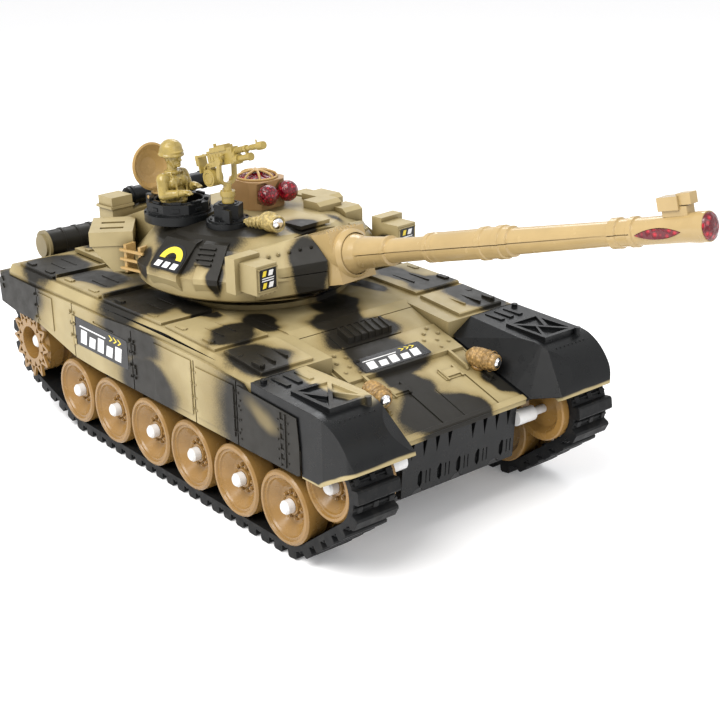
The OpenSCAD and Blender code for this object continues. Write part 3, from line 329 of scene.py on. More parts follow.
def camouflage(name, blobs, place, plane, softness=0.14, thin_spots=(), wander=WANDER):
    """Sand with soft black patches, an overspray halo round them and painted shade in the corners.

    The black is thinner over a second, optional set of patches.
    """
    graph = Graph(name)
    field = blob_field(graph, blobs, place, plane, wander)
    speckle = graph.spread(graph.noise(1400, 2), 0.3, 0.7, -0.04, 0.04)
    edge = graph.math("ADD", field, speckle)
    cover = graph.spread(edge, 1 + softness, 1 - softness, smooth=True)
    if thin_spots:
        thinned = graph.spread(blob_field(graph, thin_spots, place, plane), 1.4, 0.3, 1, 0.4, smooth=True)
        cover = graph.math("MULTIPLY", cover, thinned)
    halo = graph.spread(edge, 1 + 3.5 * softness, 1, 0, 0.6, smooth=True)
    # Ambient occlusion darkens the sand in corners and recesses: painted shade
    nook = graph.add("ShaderNodeAmbientOcclusion", samples=NOOK_SAMPLES)
    graph.put(nook.inputs["Distance"], SHADE_REACH * MM)
    sand = graph.mix(graph.spread(nook.outputs["AO"], 0.35, 0.95), CORNER_SHADE, SAND)
    ground = graph.mix(halo, sand, OVERSPRAY)
    return moulded(graph, graph.mix(cover, ground, SPOT), Specular_IOR_Level=0.24)


# Black patches on the deck, the glacis and the fenders: middle x and y, half widths, turn
# Most are black paint; the patch at x 12, y 38 beside the left fender's step and those just ahead of the turret
# are black paint and painted shade together
DECK_BLOBS = (
    (22, 9, 17, 9, -18), (30, 0, 15, 9, 0), (41, -7, 12, 13, 0), (54, -4, 10, 22, 0),
    (69, -8, 14, 17, 0), (79, -4, 8, 21, 0), (93, -7, 14, 10, 0), (113, -10, 14, 21, 0),
    (117, 9, 11, 8, 0), (109, 35, 14, 5, 8), (20, -36, 14, 9, -10), (28, -57, 10, 15, 18),
    (57, -63, 17, 13, 0), (-40, -62, 24, 20, 0), (-10, -50, 16, 7, 0), (-128, -62, 24, 17, 0),
    (-91, -58, 19, 10, 6), (57, 67, 19, 12, 0), (14, 58, 22, 8, 0), (31, 62, 9, 15, 0),
    (12, 38, 12, 5, 0), (-45, 60, 27, 16, 8), (-122, 60, 30, 13, 0), (-86, 66, 12, 8, 0),
    (-126, 4, 17, 20, 0), (-142, -27, 11, 9, 0), (-98, 34, 15, 8, 0),
)
# Patches on the skirts: middle x and z, half widths, turn
SKIRT_BLOBS = (
    (-143, 66, 29, 19, 22), (-26, 73, 28, 10, 0), (-13, 53, 26, 14, 0), (83, 58, 36, 34, 0),
)
# Where the black is thinner, so the colour is lighter, on the front of the skirts
SKIRT_THIN_SPOTS = ((81, 66, 11, 5, -20),)
# Patches on the turret: middle ahead, left and up, half widths, turn
TURRET_BLOBS = (
    (3, -40, 117, 28, 17, 14, 0), (3, -57, 109, 18, 11, 9, 0), (-19, -55, 100, 7, 9, 8, 0),
    (23, -22, 118, 11, 11, 8, 0), (25, -49, 111, 10, 8, 6, 0), (59, -19, 107, 10, 8, 22, 0),
    (39, -3, 120, 9, 8, 6, 0), (33, 21, 112, 8, 5, 6, 0), (52, 36, 100, 8, 8, 8, 0),
    (-60, -4, 112, 13, 18, 10, 0), (-46, 42, 106, 15, 12, 10, 0), (-6, 52, 107, 17, 9, 10, 0),
    # The last patch, wide and flat round the bottom of the bowl, is painted shade on the turret's underside, not
    # black paint
    (30, -52, 104, 4, 5, 12, 0), (0, 0, 82, 90, 90, 9.5, 0),
)
# Sand overspray on the mudguards: middle x and z of the lower edge; middle x and y on top
GUARD_EDGE = ((112, 45.7, 8, 0.9, 0), (123, 49, 7, 1.1, 30), (133, 54.4, 7, 1.2, 27))
GUARD_TOP = ((94, -51, 25, 9, -4),)
# Where the tan caps of the drums begin, left and right of the middle, and over how much they fade in
DRUM_CAP_Y, DRUM_CAP_FADE = 50.6, 0.4


def mudguard_material():
    """Black mudguards with sand along the lower edge and over a strip of the top."""
    graph = Graph("mudguard_black")
    rim = graph.spread(blob_field(graph, GUARD_EDGE, hull, "xz", 1.5), 1.5, 0.8, smooth=True)
    top = graph.spread(blob_field(graph, GUARD_TOP, hull, "xy"), 1.15, 0.85, smooth=True)
    cover = graph.math("MAXIMUM", rim, top)
    return moulded(graph, graph.mix(cover, BLACK, SAND), 0.3, Specular_IOR_Level=0.22)


def drum_material():
    """Black drums with dull tan end caps."""
    graph = Graph("drum_two_tone")
    across = graph.math("ABSOLUTE", graph.vector("DOT_PRODUCT", graph.coordinates, (0, 1, 0)))
    cover = graph.spread(across, DRUM_CAP_Y * MM, (DRUM_CAP_Y - DRUM_CAP_FADE) * MM)
    return moulded(graph, graph.mix(cover, scaled(SAND, 0.62), SPOT), 0.38, Specular_IOR_Level=0.24)


def ruby(name, facets):
    """Clear red plastic with moulded facets that sparkle."""
    graph = Graph(name)
    cells = graph.add("ShaderNodeTexVoronoi", feature="F1")
    graph.put(cells.inputs["Vector"], graph.coordinates)
    graph.put(cells.inputs["Scale"], facets)
    normal = graph.bump(cells.outputs["Distance"], 0.5 * MM, 0.9)
    depth = graph.spread(cells.outputs["Distance"], 0.0, 0.5)
    glow = graph.mix(depth, (0.75, 0.01, 0.035), (0.14, 0.0, 0.008))
    return graph.finish(
        glow, graph.gloss(300, 0.06, 0.14), normal,
        Transmission_Weight=0.3, IOR=1.49, Specular_IOR_Level=0.4, Coat_Weight=0.4, Coat_Roughness=0.02,
    )


def scaly(name, colour):
    """A rough moulded skin of small scales, as on the lamp housings."""
    graph = Graph(name)
    cells = graph.add("ShaderNodeTexVoronoi", feature="F1")
    graph.put(cells.inputs["Vector"], graph.coordinates)
    graph.put(cells.inputs["Scale"], 620)
    # The grooves between the scales are painted darker and the scales' tops lighter: painted shade and painted
    # highlight
    depth = graph.spread(cells.outputs["Distance"], 0.1, 0.65)
    shade = graph.mix(depth, scaled(colour, 1.15), scaled(colour, 0.6))
    normal = graph.bump(cells.outputs["Distance"], -0.45 * MM, 0.9)
    normal = graph.bump(graph.noise(1300, 3), 0.15 * MM, 0.6, normal)
    return graph.finish(shade, graph.gloss(500, 0.28, 0.45), normal, Specular_IOR_Level=0.5)


def cloth(name, colour):
    """Moulded clothing: shallow folds in a soft plastic."""
    graph = Graph(name)
    folds = graph.noise(240, 2, 0.6)
    # The hollows of the folds are painted darker and their crests lighter: painted shade and painted highlight
    tint = graph.mix(graph.spread(folds, 0.35, 0.65), scaled(colour, 0.8), scaled(colour, 1.08))
    normal = graph.bump(folds, 0.9 * MM, 0.45)
    normal = graph.bump(graph.noise(2200, 2), 0.05 * MM, 0.5, normal)
    return graph.finish(tint, graph.gloss(300, 0.22, 0.36), normal, Specular_IOR_Level=0.6)


def chrome(name):
    """Bright plating with a faint unevenness."""
    graph = Graph(name)
    normal = graph.bump(graph.noise(900, 2), 0.02 * MM, 0.4)
    return graph.finish((0.86, 0.86, 0.88), graph.gloss(200, 0.06, 0.2), normal, Metallic=1.0)


def rubber(name):
    """Black rubber with a little dust on it."""
    graph = Graph(name)
    dust = graph.spread(graph.noise(140, 5, 0.7), 0.5, 0.8)
    tint = graph.mix(dust, RUBBER, (0.02, 0.019, 0.018))
    rounded = graph.add("ShaderNodeBevel", samples=BEVEL_SAMPLES)
    graph.put(rounded.inputs["Radius"], 0.25 * MM)
    normal = graph.bump(graph.noise(1500, 3), 0.08 * MM, 0.6, rounded.outputs["Normal"])
    return graph.finish(tint, graph.gloss(220, 0.42, 0.62), normal, Specular_IOR_Level=0.18)


MATERIALS = {
    "deck": camouflage("deck_camouflage", DECK_BLOBS, hull, "xy", wander=13),
    "skirt": camouflage("skirt_camouflage", SKIRT_BLOBS, hull, "xz", softness=0.2, thin_spots=SKIRT_THIN_SPOTS),
    "turret": camouflage("turret_camouflage", TURRET_BLOBS, turret, "xyz"),
    "guard": mudguard_material(),
    "black": plain("black_plastic", BLACK, 0.3, Specular_IOR_Level=0.22),
    "satin_black": plain("satin_black_plastic", scaled(BLACK, 1.25), 0.4, Specular_IOR_Level=0.2),
    "ochre": plain("ochre_plastic", OCHRE, 0.24, Specular_IOR_Level=0.5),
    "peach": plain("peach_plastic", PEACH, 0.27, 0.3),
    "cream": plain("cream_plastic", CREAM, 0.2, 0.3, 0.35, Specular_IOR_Level=0.5),
    "mustard": plain("mustard_plastic", MUSTARD, 0.26, 0.15, Specular_IOR_Level=0.5),
    "brown": plain("brown_plastic", BROWN, 0.36, 0.3),
    "scaly_tan": scaly("scaly_tan", (0.44, 0.27, 0.095)),
    "scaly_gold": scaly("scaly_gold", (0.50, 0.38, 0.14)),
    "cloth": cloth("moulded_cloth", MUSTARD),
    "white": plain("white_plastic", WHITE, 0.3, 0.3),
    "red": plain("red_plastic", (0.5, 0.01, 0.02), 0.25, 0.2),
    "ruby": ruby("ruby_lens", 620),
    "muzzle": ruby("ruby_muzzle", 420),
    "chrome": chrome("bright_plating"),
    "rubber": rubber("track_rubber"),
    "steel": plain("steel", (0.5, 0.5, 0.5), 0.35, 0.15, Metallic=1.0),
    "board": plain("board_green", (0.03, 0.16, 0.06), 0.4, 0.1),
    "wrap": plain("battery_wrap", (0.04, 0.1, 0.4), 0.25, 0.2),
    "sticker": plain("sticker_black", (0.012, 0.012, 0.013), 0.22, 0.05, 0.3),
    "sticker_white": plain("sticker_white", (0.8, 0.8, 0.8), 0.25, 0.05, 0.3),
    "sticker_yellow": plain("sticker_yellow", YELLOW, 0.25, 0.05, 0.3),
    "drums": drum_material(),
}

# The material of each CAD node; the wheels, sprockets and idlers, which are not listed, are ochre
NODE_MATERIALS = {
    "upper_hull": "deck", "side_skirt_right": "skirt", "side_skirt_left": "skirt",
    "mudguard_right": "guard", "mudguard_left": "guard", "front_plate": "black",
    "lower_hull": "satin_black", "battery_cover": "satin_black", "battery_pack": "wrap",
    "control_board": "board", "speaker": "satin_black", "drive_gearboxes": "white", "motors": "steel",
    "power_switch": "red", "hull_screws": "steel", "fuel_drums": "drums", "headlights": "ochre",
    "headlight_lenses": "chrome", "track_right": "rubber", "track_left": "rubber",
    "axle_stubs_right": "white", "axle_stubs_left": "white", "drive_shaft_right": "white",
    "drive_shaft_left": "white", "turret_lower": "turret", "turret_upper": "turret",
    "armour_blocks": "turret", "stowage_boxes": "turret", "snorkel": "black", "tool_rack": "peach",
    "receiver_box": "brown", "receiver_lens": "red", "led_domes": "ruby", "cupola": "black",
    "hatch_lid": "peach", "figure": "mustard", "mg_pedestal": "black", "mg_yoke": "mustard",
    "machine_gun": "mustard", "searchlight": "mustard", "mantlet": "cream", "gun_barrel": "cream",
    "muzzle_lens": "muzzle",
}


def paint(thing, key):
    thing.data.materials.clear()
    thing.data.materials.append(MATERIALS[key])
    for face in thing.data.polygons:
        face.material_index = 0


def paint_nodes():
    for node, thing in NODES.items():
        paint(thing, NODE_MATERIALS.get(node, "ochre"))


# ---- Building detail pieces -------------------------------------------

SHRINK = Matrix.Scale(MM, 4)
HULL_MM = Matrix.Translation(HULL_ORIGIN) @ SHRINK
TURRET_MM = TURRET_FRAME @ SHRINK
# Where pieces stand in the turret's frame, with their turns in degrees
MG_AT, MG_RISE = (9, -24.5, 150), 15
CREWMAN_AT, CREWMAN_TURN = (-24, -31.5, 0), 14
SEARCHLIGHT_AT, SEARCHLIGHT_TURN, SEARCHLIGHT_ARM_TURN = (29.5, -18.5, 119.4), -8, 208
RECEIVER_AT = (-9, 10, 131)
HATCH_AT, HATCH_LEAN = (-40.5, -30, 126), -8
CUPOLA_AT = (-22, -30, 119)
PEDESTAL_AT = (9, -24.5, 119)
MG_MM = TURRET_MM @ Matrix.Translation(MG_AT) @ Matrix.Rotation(math.radians(-MG_RISE), 4, "Y")

# The outer face of the skirts
SKIRT_FACE = 79.42


def aimed(start, ahead):
    """Local Z runs along ahead, from start."""
    return Matrix.Translation(start) @ Vector(ahead).to_track_quat("Z", "Y").to_matrix().to_4x4()


class Piece:
    """One detail piece, gathered from turned, boxed and drawn parts in one frame of millimetres."""

    def __init__(self, name, space):
        self.name, self.space = name, space
        self.mesh = bmesh.new()
        self.keys = []

    def mark(self, faces, key, smooth=True):
        if key not in self.keys:
            self.keys.append(key)
        for face in faces:
            face.material_index = self.keys.index(key)
            face.smooth = smooth

    def turned(self, profile, key, start=(0, 0, 0), ahead=(0, 0, 1), segments=40, squash=(1, 1)):
        """A turned part: (radius, distance) points along ahead, each end closed."""
        place = aimed(start, ahead)
        rings = []
        for radius, along in profile:
            if radius < 1e-6:
                rings.append([self.mesh.verts.new(place @ Vector((0, 0, along)))])
                continue
            turn = 2 * math.pi / segments
            rings.append([
                self.mesh.verts.new(place @ Vector((
                    radius * squash[0] * math.cos(i * turn), radius * squash[1] * math.sin(i * turn), along
                )))
                for i in range(segments)
            ])
        faces = []
        for low, high in zip(rings, rings[1:]):
            for i in range(segments):
                j = (i + 1) % segments
                ring = [low[i % len(low)], low[j % len(low)], high[j % len(high)], high[i % len(high)]]
                ring = [v for k, v in enumerate(ring) if v not in ring[:k]]
                if len(ring) > 2:
                    faces.append(self.mesh.faces.new(ring))
        for ring, order in ((rings[0], -1), (rings[-1], 1)):
            if len(ring) > 1:
                faces.append(self.mesh.faces.new(ring[::order]))
        self.mark(faces, key)

    def rod(self, radius, start, end, key, segments=16, edge=0.2):
        """A round rod with softened rims."""
        start, end = Vector(start), Vector(end)
        length = (end - start).length
        edge = min(edge, radius * 0.4, length * 0.3)
        profile = (
            (0, 0), (radius - edge, 0), (radius, edge),
            (radius, length - edge), (radius - edge, length), (0, length),
        )
        self.turned(profile, key, start, end - start, segments)

    def ball(self, centre, radii, key, turn=0.0, segments=24):
        made = bmesh.ops.create_uvsphere(
            self.mesh, u_segments=segments, v_segments=segments // 2, radius=1
        )["verts"]
        spun = Matrix.Translation(centre) @ Matrix.Rotation(math.radians(turn), 4, "Z")
        place = spun @ Matrix.Diagonal((*radii, 1))
        bmesh.ops.transform(self.mesh, matrix=place, verts=made)
        self.mark({face for vert in made for face in vert.link_faces}, key)

    def limb(self, start, end, radius, end_radius, key="mustard"):
        """A round-ended tapering limb."""
        start, end = Vector(start), Vector(end)
        length = (end - start).length
        steps = [math.radians(a) for a in (-90, -60, -30, 0)]
        profile = [(radius * math.cos(a), radius * math.sin(a)) for a in steps]
        profile += [(end_radius * math.cos(a), length - end_radius * math.sin(a)) for a in reversed(steps)]
        self.turned(profile, key, start, end - start, 20)

    def ring(self, centre, radius, tube, key, squash=(1, 1), ahead=(0, 0, 1), segments=40):
        """A ring round ahead, of an eight-sided tube."""
        corners = [math.radians(k * 45) for k in range(8)]
        place = aimed(centre, ahead)
        rings = []
        for r, z in [(radius + tube * math.cos(a), tube * math.sin(a)) for a in corners]:
            rings.append([
                self.mesh.verts.new(place @ Vector((
                    r * squash[0] * math.cos(2 * math.pi * i / segments),
                    r * squash[1] * math.sin(2 * math.pi * i / segments), z,
                )))
                for i in range(segments)
            ])
        faces = []
        for k in range(8):
            low, high = rings[k], rings[(k + 1) % 8]
            for i in range(segments):
                j = (i + 1) % segments
                faces.append(self.mesh.faces.new((low[i], low[j], high[j], high[i])))
        self.mark(faces, key)

    def block(self, low, high, key, place=Matrix.Identity(4), edge=0.25):
        made = bmesh.ops.create_cube(self.mesh, size=1)["verts"]
        low, high = Vector(low), Vector(high)
        size = high - low
        moved = place @ Matrix.Translation((low + high) / 2) @ Matrix.Diagonal((*size, 1))
        bmesh.ops.transform(self.mesh, matrix=moved, verts=made)
        faces = {face for vert in made for face in vert.link_faces}
        edges = list({e for face in faces for e in face.edges})
        out = bmesh.ops.bevel(
            self.mesh, geom=edges, offset=min(edge, min(size) * 0.3), segments=2, profile=0.6, affect="EDGES"
        )
        faces = {face for face in faces if face.is_valid} | set(out["faces"])
        self.mark(faces, key, False)

    def plate(self, outline, thickness, key, place):
        """A flat plate with this (u, v) outline; place puts (u, v, height) in the piece's frame."""
        bottom = [self.mesh.verts.new(place(u, v, 0)) for u, v in outline]
        top = [self.mesh.verts.new(place(u, v, thickness)) for u, v in outline]
        faces = [self.mesh.faces.new(top), self.mesh.faces.new(bottom[::-1])]
        for i in range(len(outline)):
            j = (i + 1) % len(outline)
            faces.append(self.mesh.faces.new((bottom[i], bottom[j], top[j], top[i])))
        self.mark(faces, key, False)

    def done(self, body, *stands_for, blend_size=None, slot=None):
        """Hands the piece over to its body, in place of the CAD nodes it stands for."""
        bmesh.ops.recalc_face_normals(self.mesh, faces=self.mesh.faces)
        bmesh.ops.transform(self.mesh, matrix=self.space, verts=self.mesh.verts)
        data = bpy.data.meshes.new(self.name)
        self.mesh.to_mesh(data)
        self.mesh.free()
        thing = bpy.data.objects.new(self.name, data)
        bpy.context.collection.objects.link(thing)
        for key in self.keys:
            data.materials.append(MATERIALS[key])
        if blend_size:
            melt(thing, blend_size)
        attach(thing, body)
        if stands_for:
            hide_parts(*stands_for)
        return thing


def melt(thing, size):
    """Runs overlapping parts into one skin with soft joins."""
    remesh = thing.modifiers.new("skin", "REMESH")
    remesh.mode = "VOXEL"
    remesh.voxel_size = size * MM
    remesh.use_smooth_shade = True
    smooth = thing.modifiers.new("soften", "SMOOTH")
    smooth.factor = 0.5
    smooth.iterations = 3
    graph = bpy.context.evaluated_depsgraph_get()
    skin = bpy.data.meshes.new_from_object(thing.evaluated_get(graph))
    thing.modifiers.clear()
    thing.data = skin


# ---- Stickers ---------------------------------------------------------


def facing(lower_left, lower_right, upper_right, upper_left):
    """Places (u, v, height over the face) on the face with these four corners, seen from outside."""
    a, b, c, d = (Vector(p) for p in (lower_left, lower_right, upper_right, upper_left))
    normal = (b - a).cross(d - a).normalized()

    def place(u, v, height):
        return a * (1 - u) * (1 - v) + b * u * (1 - v) + c * u * v + d * (1 - u) * v + normal * height

    return place


def slanted(u, v, width, height, lean):
    return ((u, v), (u + width, v), (u + width + lean, v + height), (u + lean, v + height))


def chevron(u, v, width, height, thick):
    return (
        (u, v), (u + thick, v), (u + thick + width, v + height / 2), (u + thick, v + height), (u, v + height),
        (u + width, v + height / 2),
    )


# Thicknesses of a sticker and of the ink on it
STICKER_T, INK_T = 0.16, 0.05
# Where the stickers' edges are on the skirts, the glacis and the turret's front boxes
SIDE_STICKER_X, SIDE_STICKER_Z = (-80.5, -29.5), (54.8, 69.6)
GLACIS_STICKER_X, GLACIS_STICKER_Y = (80.2, 70.4), (-22.5, 17)
BOX_STICKER_X, BOX_STICKER_Y, BOX_STICKER_Z = 60.52, (41.4, 51.2), (101.8, 111.4)
# The heading of the turret's cheeks, and the corners of their stickers: across, out and up
CHEEK_HEADING = 87.5
CHEEK_STICKER = ((-8.8, 61.4, 102.75), (9.8, 61.4, 102.75), (9.8, 50.6, 112.78), (-8.8, 50.6, 112.78))
# The slope of the glacis: where it starts, and how far it falls for each mm ahead
GLACIS_X, GLACIS_Z, GLACIS_FALL = 40, 82, 0.335


def oval(u, v, half_u, half_v, angles):
    """Points of an oval about (u, v), at these angles in degrees."""
    return [(u + half_u * math.cos(a), v + half_v * math.sin(a)) for a in map(math.radians, angles)]


def sticker(piece, place, outline, marks):
    piece.plate(outline, STICKER_T, "sticker", place)
    for key, shape in marks:
        piece.plate(shape, INK_T, key, lambda u, v, h: place(u, v, h + STICKER_T))


FULL = ((0.02, 0), (0.98, 0), (1, 0.05), (1, 0.95), (0.98, 1), (0.02, 1), (0, 0.95), (0, 0.05))


def unit_marks():
    """White slanted bars of stepped height with yellow chevrons over them."""
    marks = []
    for i, height in enumerate((0.50, 0.38, 0.50, 0.38, 0.50)):
        marks.append(("sticker_white", slanted(0.09 + 0.165 * i, 0.12, 0.115, height, 0.03)))
    marks.append(("sticker_white", slanted(0.09, 0.70, 0.5, 0.05, 0.01)))
    for i in range(3):
        marks.append(("sticker_yellow", chevron(0.66 + 0.08 * i, 0.70, 0.05, 0.2, 0.025)))
    return marks


def glacis_z(x):
    return GLACIS_Z - (x - GLACIS_X) * GLACIS_FALL


def plate_z(x):
    """The top of the raised plate on the glacis, which thickens towards the front."""
    return glacis_z(x) + 0.8 + 0.8 * (x - 62) / 20.5


def add_hull_stickers():
    piece = Piece("hull_stickers", HULL_MM)
    bottom, top = SIDE_STICKER_Z
    for side in (-1, 1):
        ends = SIDE_STICKER_X if side < 0 else SIDE_STICKER_X[::-1]
        corners = [(ends[i], side * SKIRT_FACE, z) for i, z in ((0, bottom), (1, bottom), (1, top), (0, top))]
        sticker(piece, facing(*corners), FULL, unit_marks())
    low, high = GLACIS_STICKER_X
    right, left = GLACIS_STICKER_Y
    corners = (
        (low, right, plate_z(low)), (low, left, plate_z(low)),
        (high, left, plate_z(high)), (high, right, plate_z(high)),
    )
    sticker(piece, facing(*corners), FULL, unit_marks())
    piece.done("hull", slot="black_plastic")


def cheek_point(across, radius, z):
    a = math.radians(-CHEEK_HEADING)
    return (radius * math.cos(a) - across * math.sin(a), radius * math.sin(a) + across * math.cos(a), z)


def add_turret_stickers():
    piece = Piece("turret_stickers", TURRET_MM)
    arch = [(0, 0), (1, 0), (1, 0.45), *oval(0.5, 0.45, 0.5, 0.55, range(15, 180, 15)), (0, 0.45)]
    disc = oval(0.5, 0.42, 0.4, 0.47, range(0, 181, 12))
    core = oval(0.5, 0.42, 0.2, 0.24, range(0, 181, 12))
    marks = [("sticker_yellow", disc), ("sticker", core)]
    marks += [("sticker_white", slanted(0.07 + 0.3 * i, 0.08, 0.2, 0.22, 0.04)) for i in range(3)]
    for side in (1, -1):
        corners = []
        for corner in CHEEK_STICKER:
            x, y, z = cheek_point(*corner)
            corners.append((x, y * side, z))
        if side < 0:
            corners = [corners[i] for i in (1, 0, 3, 2)]
        sticker(piece, facing(*corners), arch, marks)
    bars = []
    for row in (0.08, 0.66):
        bars.append(("sticker_yellow", slanted(0.14, row, 0.2, 0.26, 0.08)))
        bars.append(("sticker_white", slanted(0.5, row, 0.26, 0.26, 0.08)))
    bars.append(("sticker_white", slanted(0.1, 0.42, 0.72, 0.05, 0.03)))
    bars.append(("sticker_white", slanted(0.12, 0.53, 0.72, 0.05, 0.03)))
    bottom, top = BOX_STICKER_Z
    for side in (1, -1):
        start, end = sorted(side * y for y in BOX_STICKER_Y)
        edges = ((start, bottom), (end, bottom), (end, top), (start, top))
        corners = [(BOX_STICKER_X, y, z) for y, z in edges]
        sticker(piece, facing(*corners), FULL, bars)
    piece.done("turret", slot="black_plastic")


# ---- Crewman ----------------------------------------------------------


def add_crewman():
    turned = Matrix.Rotation(math.radians(CREWMAN_TURN), 4, "Z")
    man = Piece("crewman", TURRET_MM @ Matrix.Translation(CREWMAN_AT) @ turned)
    key = "cloth"
    man.ball((0, 0, 125.5), (5.6, 6.6, 6.6), key)
    man.ball((-0.2, 0, 131), (5.0, 7.2, 6.5), key)
    man.ball((0, 0, 135.8), (4.7, 8.3, 4.9), key)
    man.turned(((0, 120.5), (6.2, 120.5), (6.4, 124), (0, 124)), key, squash=(0.9, 1.05))
    for s in (-1, 1):
        man.ball((-0.2, s * 7.4, 138.2), (3.3, 3.5, 3.2), key)
        man.ball((3.4, s * 3.2, 136.2), (2.2, 3.4, 2.8), key)
    man.turned(((2.7, 139), (2.5, 145)), key)
    man.ring((0.1, 0, 140.8), 3.3, 1.0, key, (0.95, 1.1))
    # Head: skull, jaw, chin, nose, brow, lips and ears on plain proportions
    man.ball((0.7, 0, 148.2), (4.3, 3.8, 4.8), key)
    man.ball((1.9, 0, 145.6), (3.0, 2.9, 2.7), key)
    man.ball((3.9, 0, 144.1), (1.1, 1.5, 0.9), key)
    man.limb((4.7, 0, 148.4), (5.5, 0, 147.0), 0.45, 0.7, key)
    man.ball((4.5, 0, 145.5), (0.6, 1.3, 0.4), key)
    for s in (-1, 1):
        man.ball((4.2, s * 1.5, 149.1), (0.7, 1.2, 0.45), key)
        man.ball((4.15, s * 1.5, 148.1), (0.6, 0.75, 0.5), key)
        man.ball((0.4, s * 3.9, 147.6), (1.0, 0.55, 1.4), key)
    # Helmet with its rim, band and chin strap
    helmet = (
        (5.2, -0.4), (6.6, -0.9), (6.75, -0.4), (6.2, 0.6), (5.95, 2.2), (5.3, 4.4), (3.6, 6.1), (1.6, 6.9),
        (0, 7.0),
    )
    man.turned(helmet, key, (-0.1, 0, 149.8), (0.06, 0, 1), squash=(1, 0.94))
    man.ring((0, 0, 150.9), 6.0, 0.32, key, (1, 0.94))
    for s in (-1, 1):
        man.limb((1.6, s * 4.0, 149.4), (3.2, s * 2.4, 143.6), 0.42, 0.42, key)
    # Arms and hands
    man.limb((0, -8.3, 137.8), (1.3, -9.8, 130.9), 2.9, 2.5, key)
    man.limb((1.3, -9.8, 130.9), (9.0, -4.6, 131.8), 2.5, 1.75, key)
    man.ring((7.2, -5.9, 131.6), 1.9, 0.45, key, ahead=(0.83, 0.55, 0.1), segments=20)
    man.limb((0, 8.3, 137.8), (2.2, 9.4, 131.1), 2.9, 2.5, key)
    man.limb((2.2, 9.4, 131.1), (9.6, 5.2, 133.8), 2.5, 1.75, key)
    man.ring((8.0, 6.1, 133.2), 1.9, 0.45, key, ahead=(0.8, -0.5, 0.3), segments=20)
    for y, z, lean in ((-3.6, 132.2, 1), (4.4, 134.4, -1)):
        man.ball((10.4, y, z), (2.0, 1.7, 1.2), key)
        for k in range(4):
            knuckle, tip = (11.4, y - 1.35 + 0.9 * k, z), (13.2, y - 1.2 + 0.9 * k + 0.2 * lean, z - 0.9)
            man.limb(knuckle, tip, 0.5, 0.42, key)
        man.limb((10.4, y + 1.5 * lean, z + 0.2), (12.0, y + 2.0 * lean, z + 0.1), 0.55, 0.45, key)
    # Webbing: straps, belt, pouches and buttons
    for s in (-1, 1):
        shoulder, chest, belt = (2.6, s * 4.6, 140.4), (5.2, s * 4.2, 136.4), (5.4, s * 3.6, 128.4)
        man.limb(shoulder, chest, 0.62, 0.62, key)
        man.limb(chest, belt, 0.62, 0.62, key)
        man.ball((5.2, s * 3.4, 129.6), (1.5, 1.8, 2.0), key)
        man.ball((5.7, s * 3.4, 131.0), (1.3, 1.9, 0.5), key)
    man.ring((-0.1, 0, 126.6), 6.3, 0.8, key, (0.9, 1.06))
    for z in (129.4, 132.2, 135, 137.8):
        man.ball((5.0, 0, z), (0.45, 0.5, 0.5), key, segments=12)
    man.done("turret", "figure", blend_size=0.26, slot="mustard_plastic")


# ---- Lamps ------------------------------------------------------------


# The mouth of the left headlight, how far it points outwards and down in degrees, and the middle of its foot
HEADLIGHT_AT, HEADLIGHT_TOE, HEADLIGHT_DIP = (106.1, 33.6, 67.9), 12, 3
HEADLIGHT_FOOT = (95.4, 31.4)


def lamp_profile(length, radius, mouth, ribs=7):
    """A rough ribbed lamp housing from its rounded back to its mouth."""
    points = [(0, -length), (radius * 0.45, -length * 0.985), (radius * 0.75, -length * 0.9)]
    for i in range(ribs):
        t = i / ribs
        along = -length * (0.84 - 0.62 * t)
        swell = radius * (0.9 + 0.12 * math.sin(math.pi * min(1, t * 1.1)))
        points += [(swell, along), (swell + 0.32, along + 0.35)]
        points += [(swell + 0.28, along + 0.75), (swell - 0.08, along + 1.0)]
    points += [(radius * 0.9, -length * 0.16), (mouth + 0.9, -0.5), (mouth + 0.7, 0)]
    points += [(mouth, 0.05), (mouth, -0.7), (0, -0.8)]
    return points


def add_headlights():
    for side, name in ((-1, "right"), (1, "left")):
        turn, dip = math.radians(HEADLIGHT_TOE * side), math.radians(HEADLIGHT_DIP)
        ahead = Vector((math.cos(dip) * math.cos(turn), math.cos(dip) * math.sin(turn), -math.sin(dip)))
        across = Vector((-ahead.y, ahead.x, 0)).normalized() * side
        x, y, z = HEADLIGHT_AT
        at = Vector((x, y * side, z))
        foot_x, foot_y = HEADLIGHT_FOOT[0], HEADLIGHT_FOOT[1] * side
        foot_z = glacis_z(foot_x)
        lamp = Piece(f"headlight_{name}", HULL_MM)
        lamp.turned(lamp_profile(16.6, 4.4, 2.6, 9), "scaly_tan", at, ahead, 36)
        lamp.ring(at - ahead * 0.6, 3.5, 0.3, "scaly_tan", ahead=ahead)
        back = at - ahead * 10 + across * 1.4 - Vector((0, 0, 0.4))
        lamp.ball(back, (3.9, 3.3, 3.3), "scaly_tan", HEADLIGHT_TOE * side)
        lamp.rod(2.5, at - ahead * 9 - Vector((0, 0, 1)), (foot_x, foot_y, foot_z + 0.2), "scaly_tan", 24)
        foot = ((0, 0), (3.2, 0), (3.2, 1.2), (2.6, 1.7), (0, 1.7))
        lamp.turned(foot, "ochre", (foot_x, foot_y, foot_z), (0.32, 0, 0.95), 24)
        for k in range(3):
            lamp.ring(at - ahead * (3 + 2.6 * k), 4.75 - 0.1 * k, 0.22, "scaly_tan", ahead=ahead)
        lamp.done("hull", *(("headlights",) if side > 0 else ()), slot="peach_plastic")


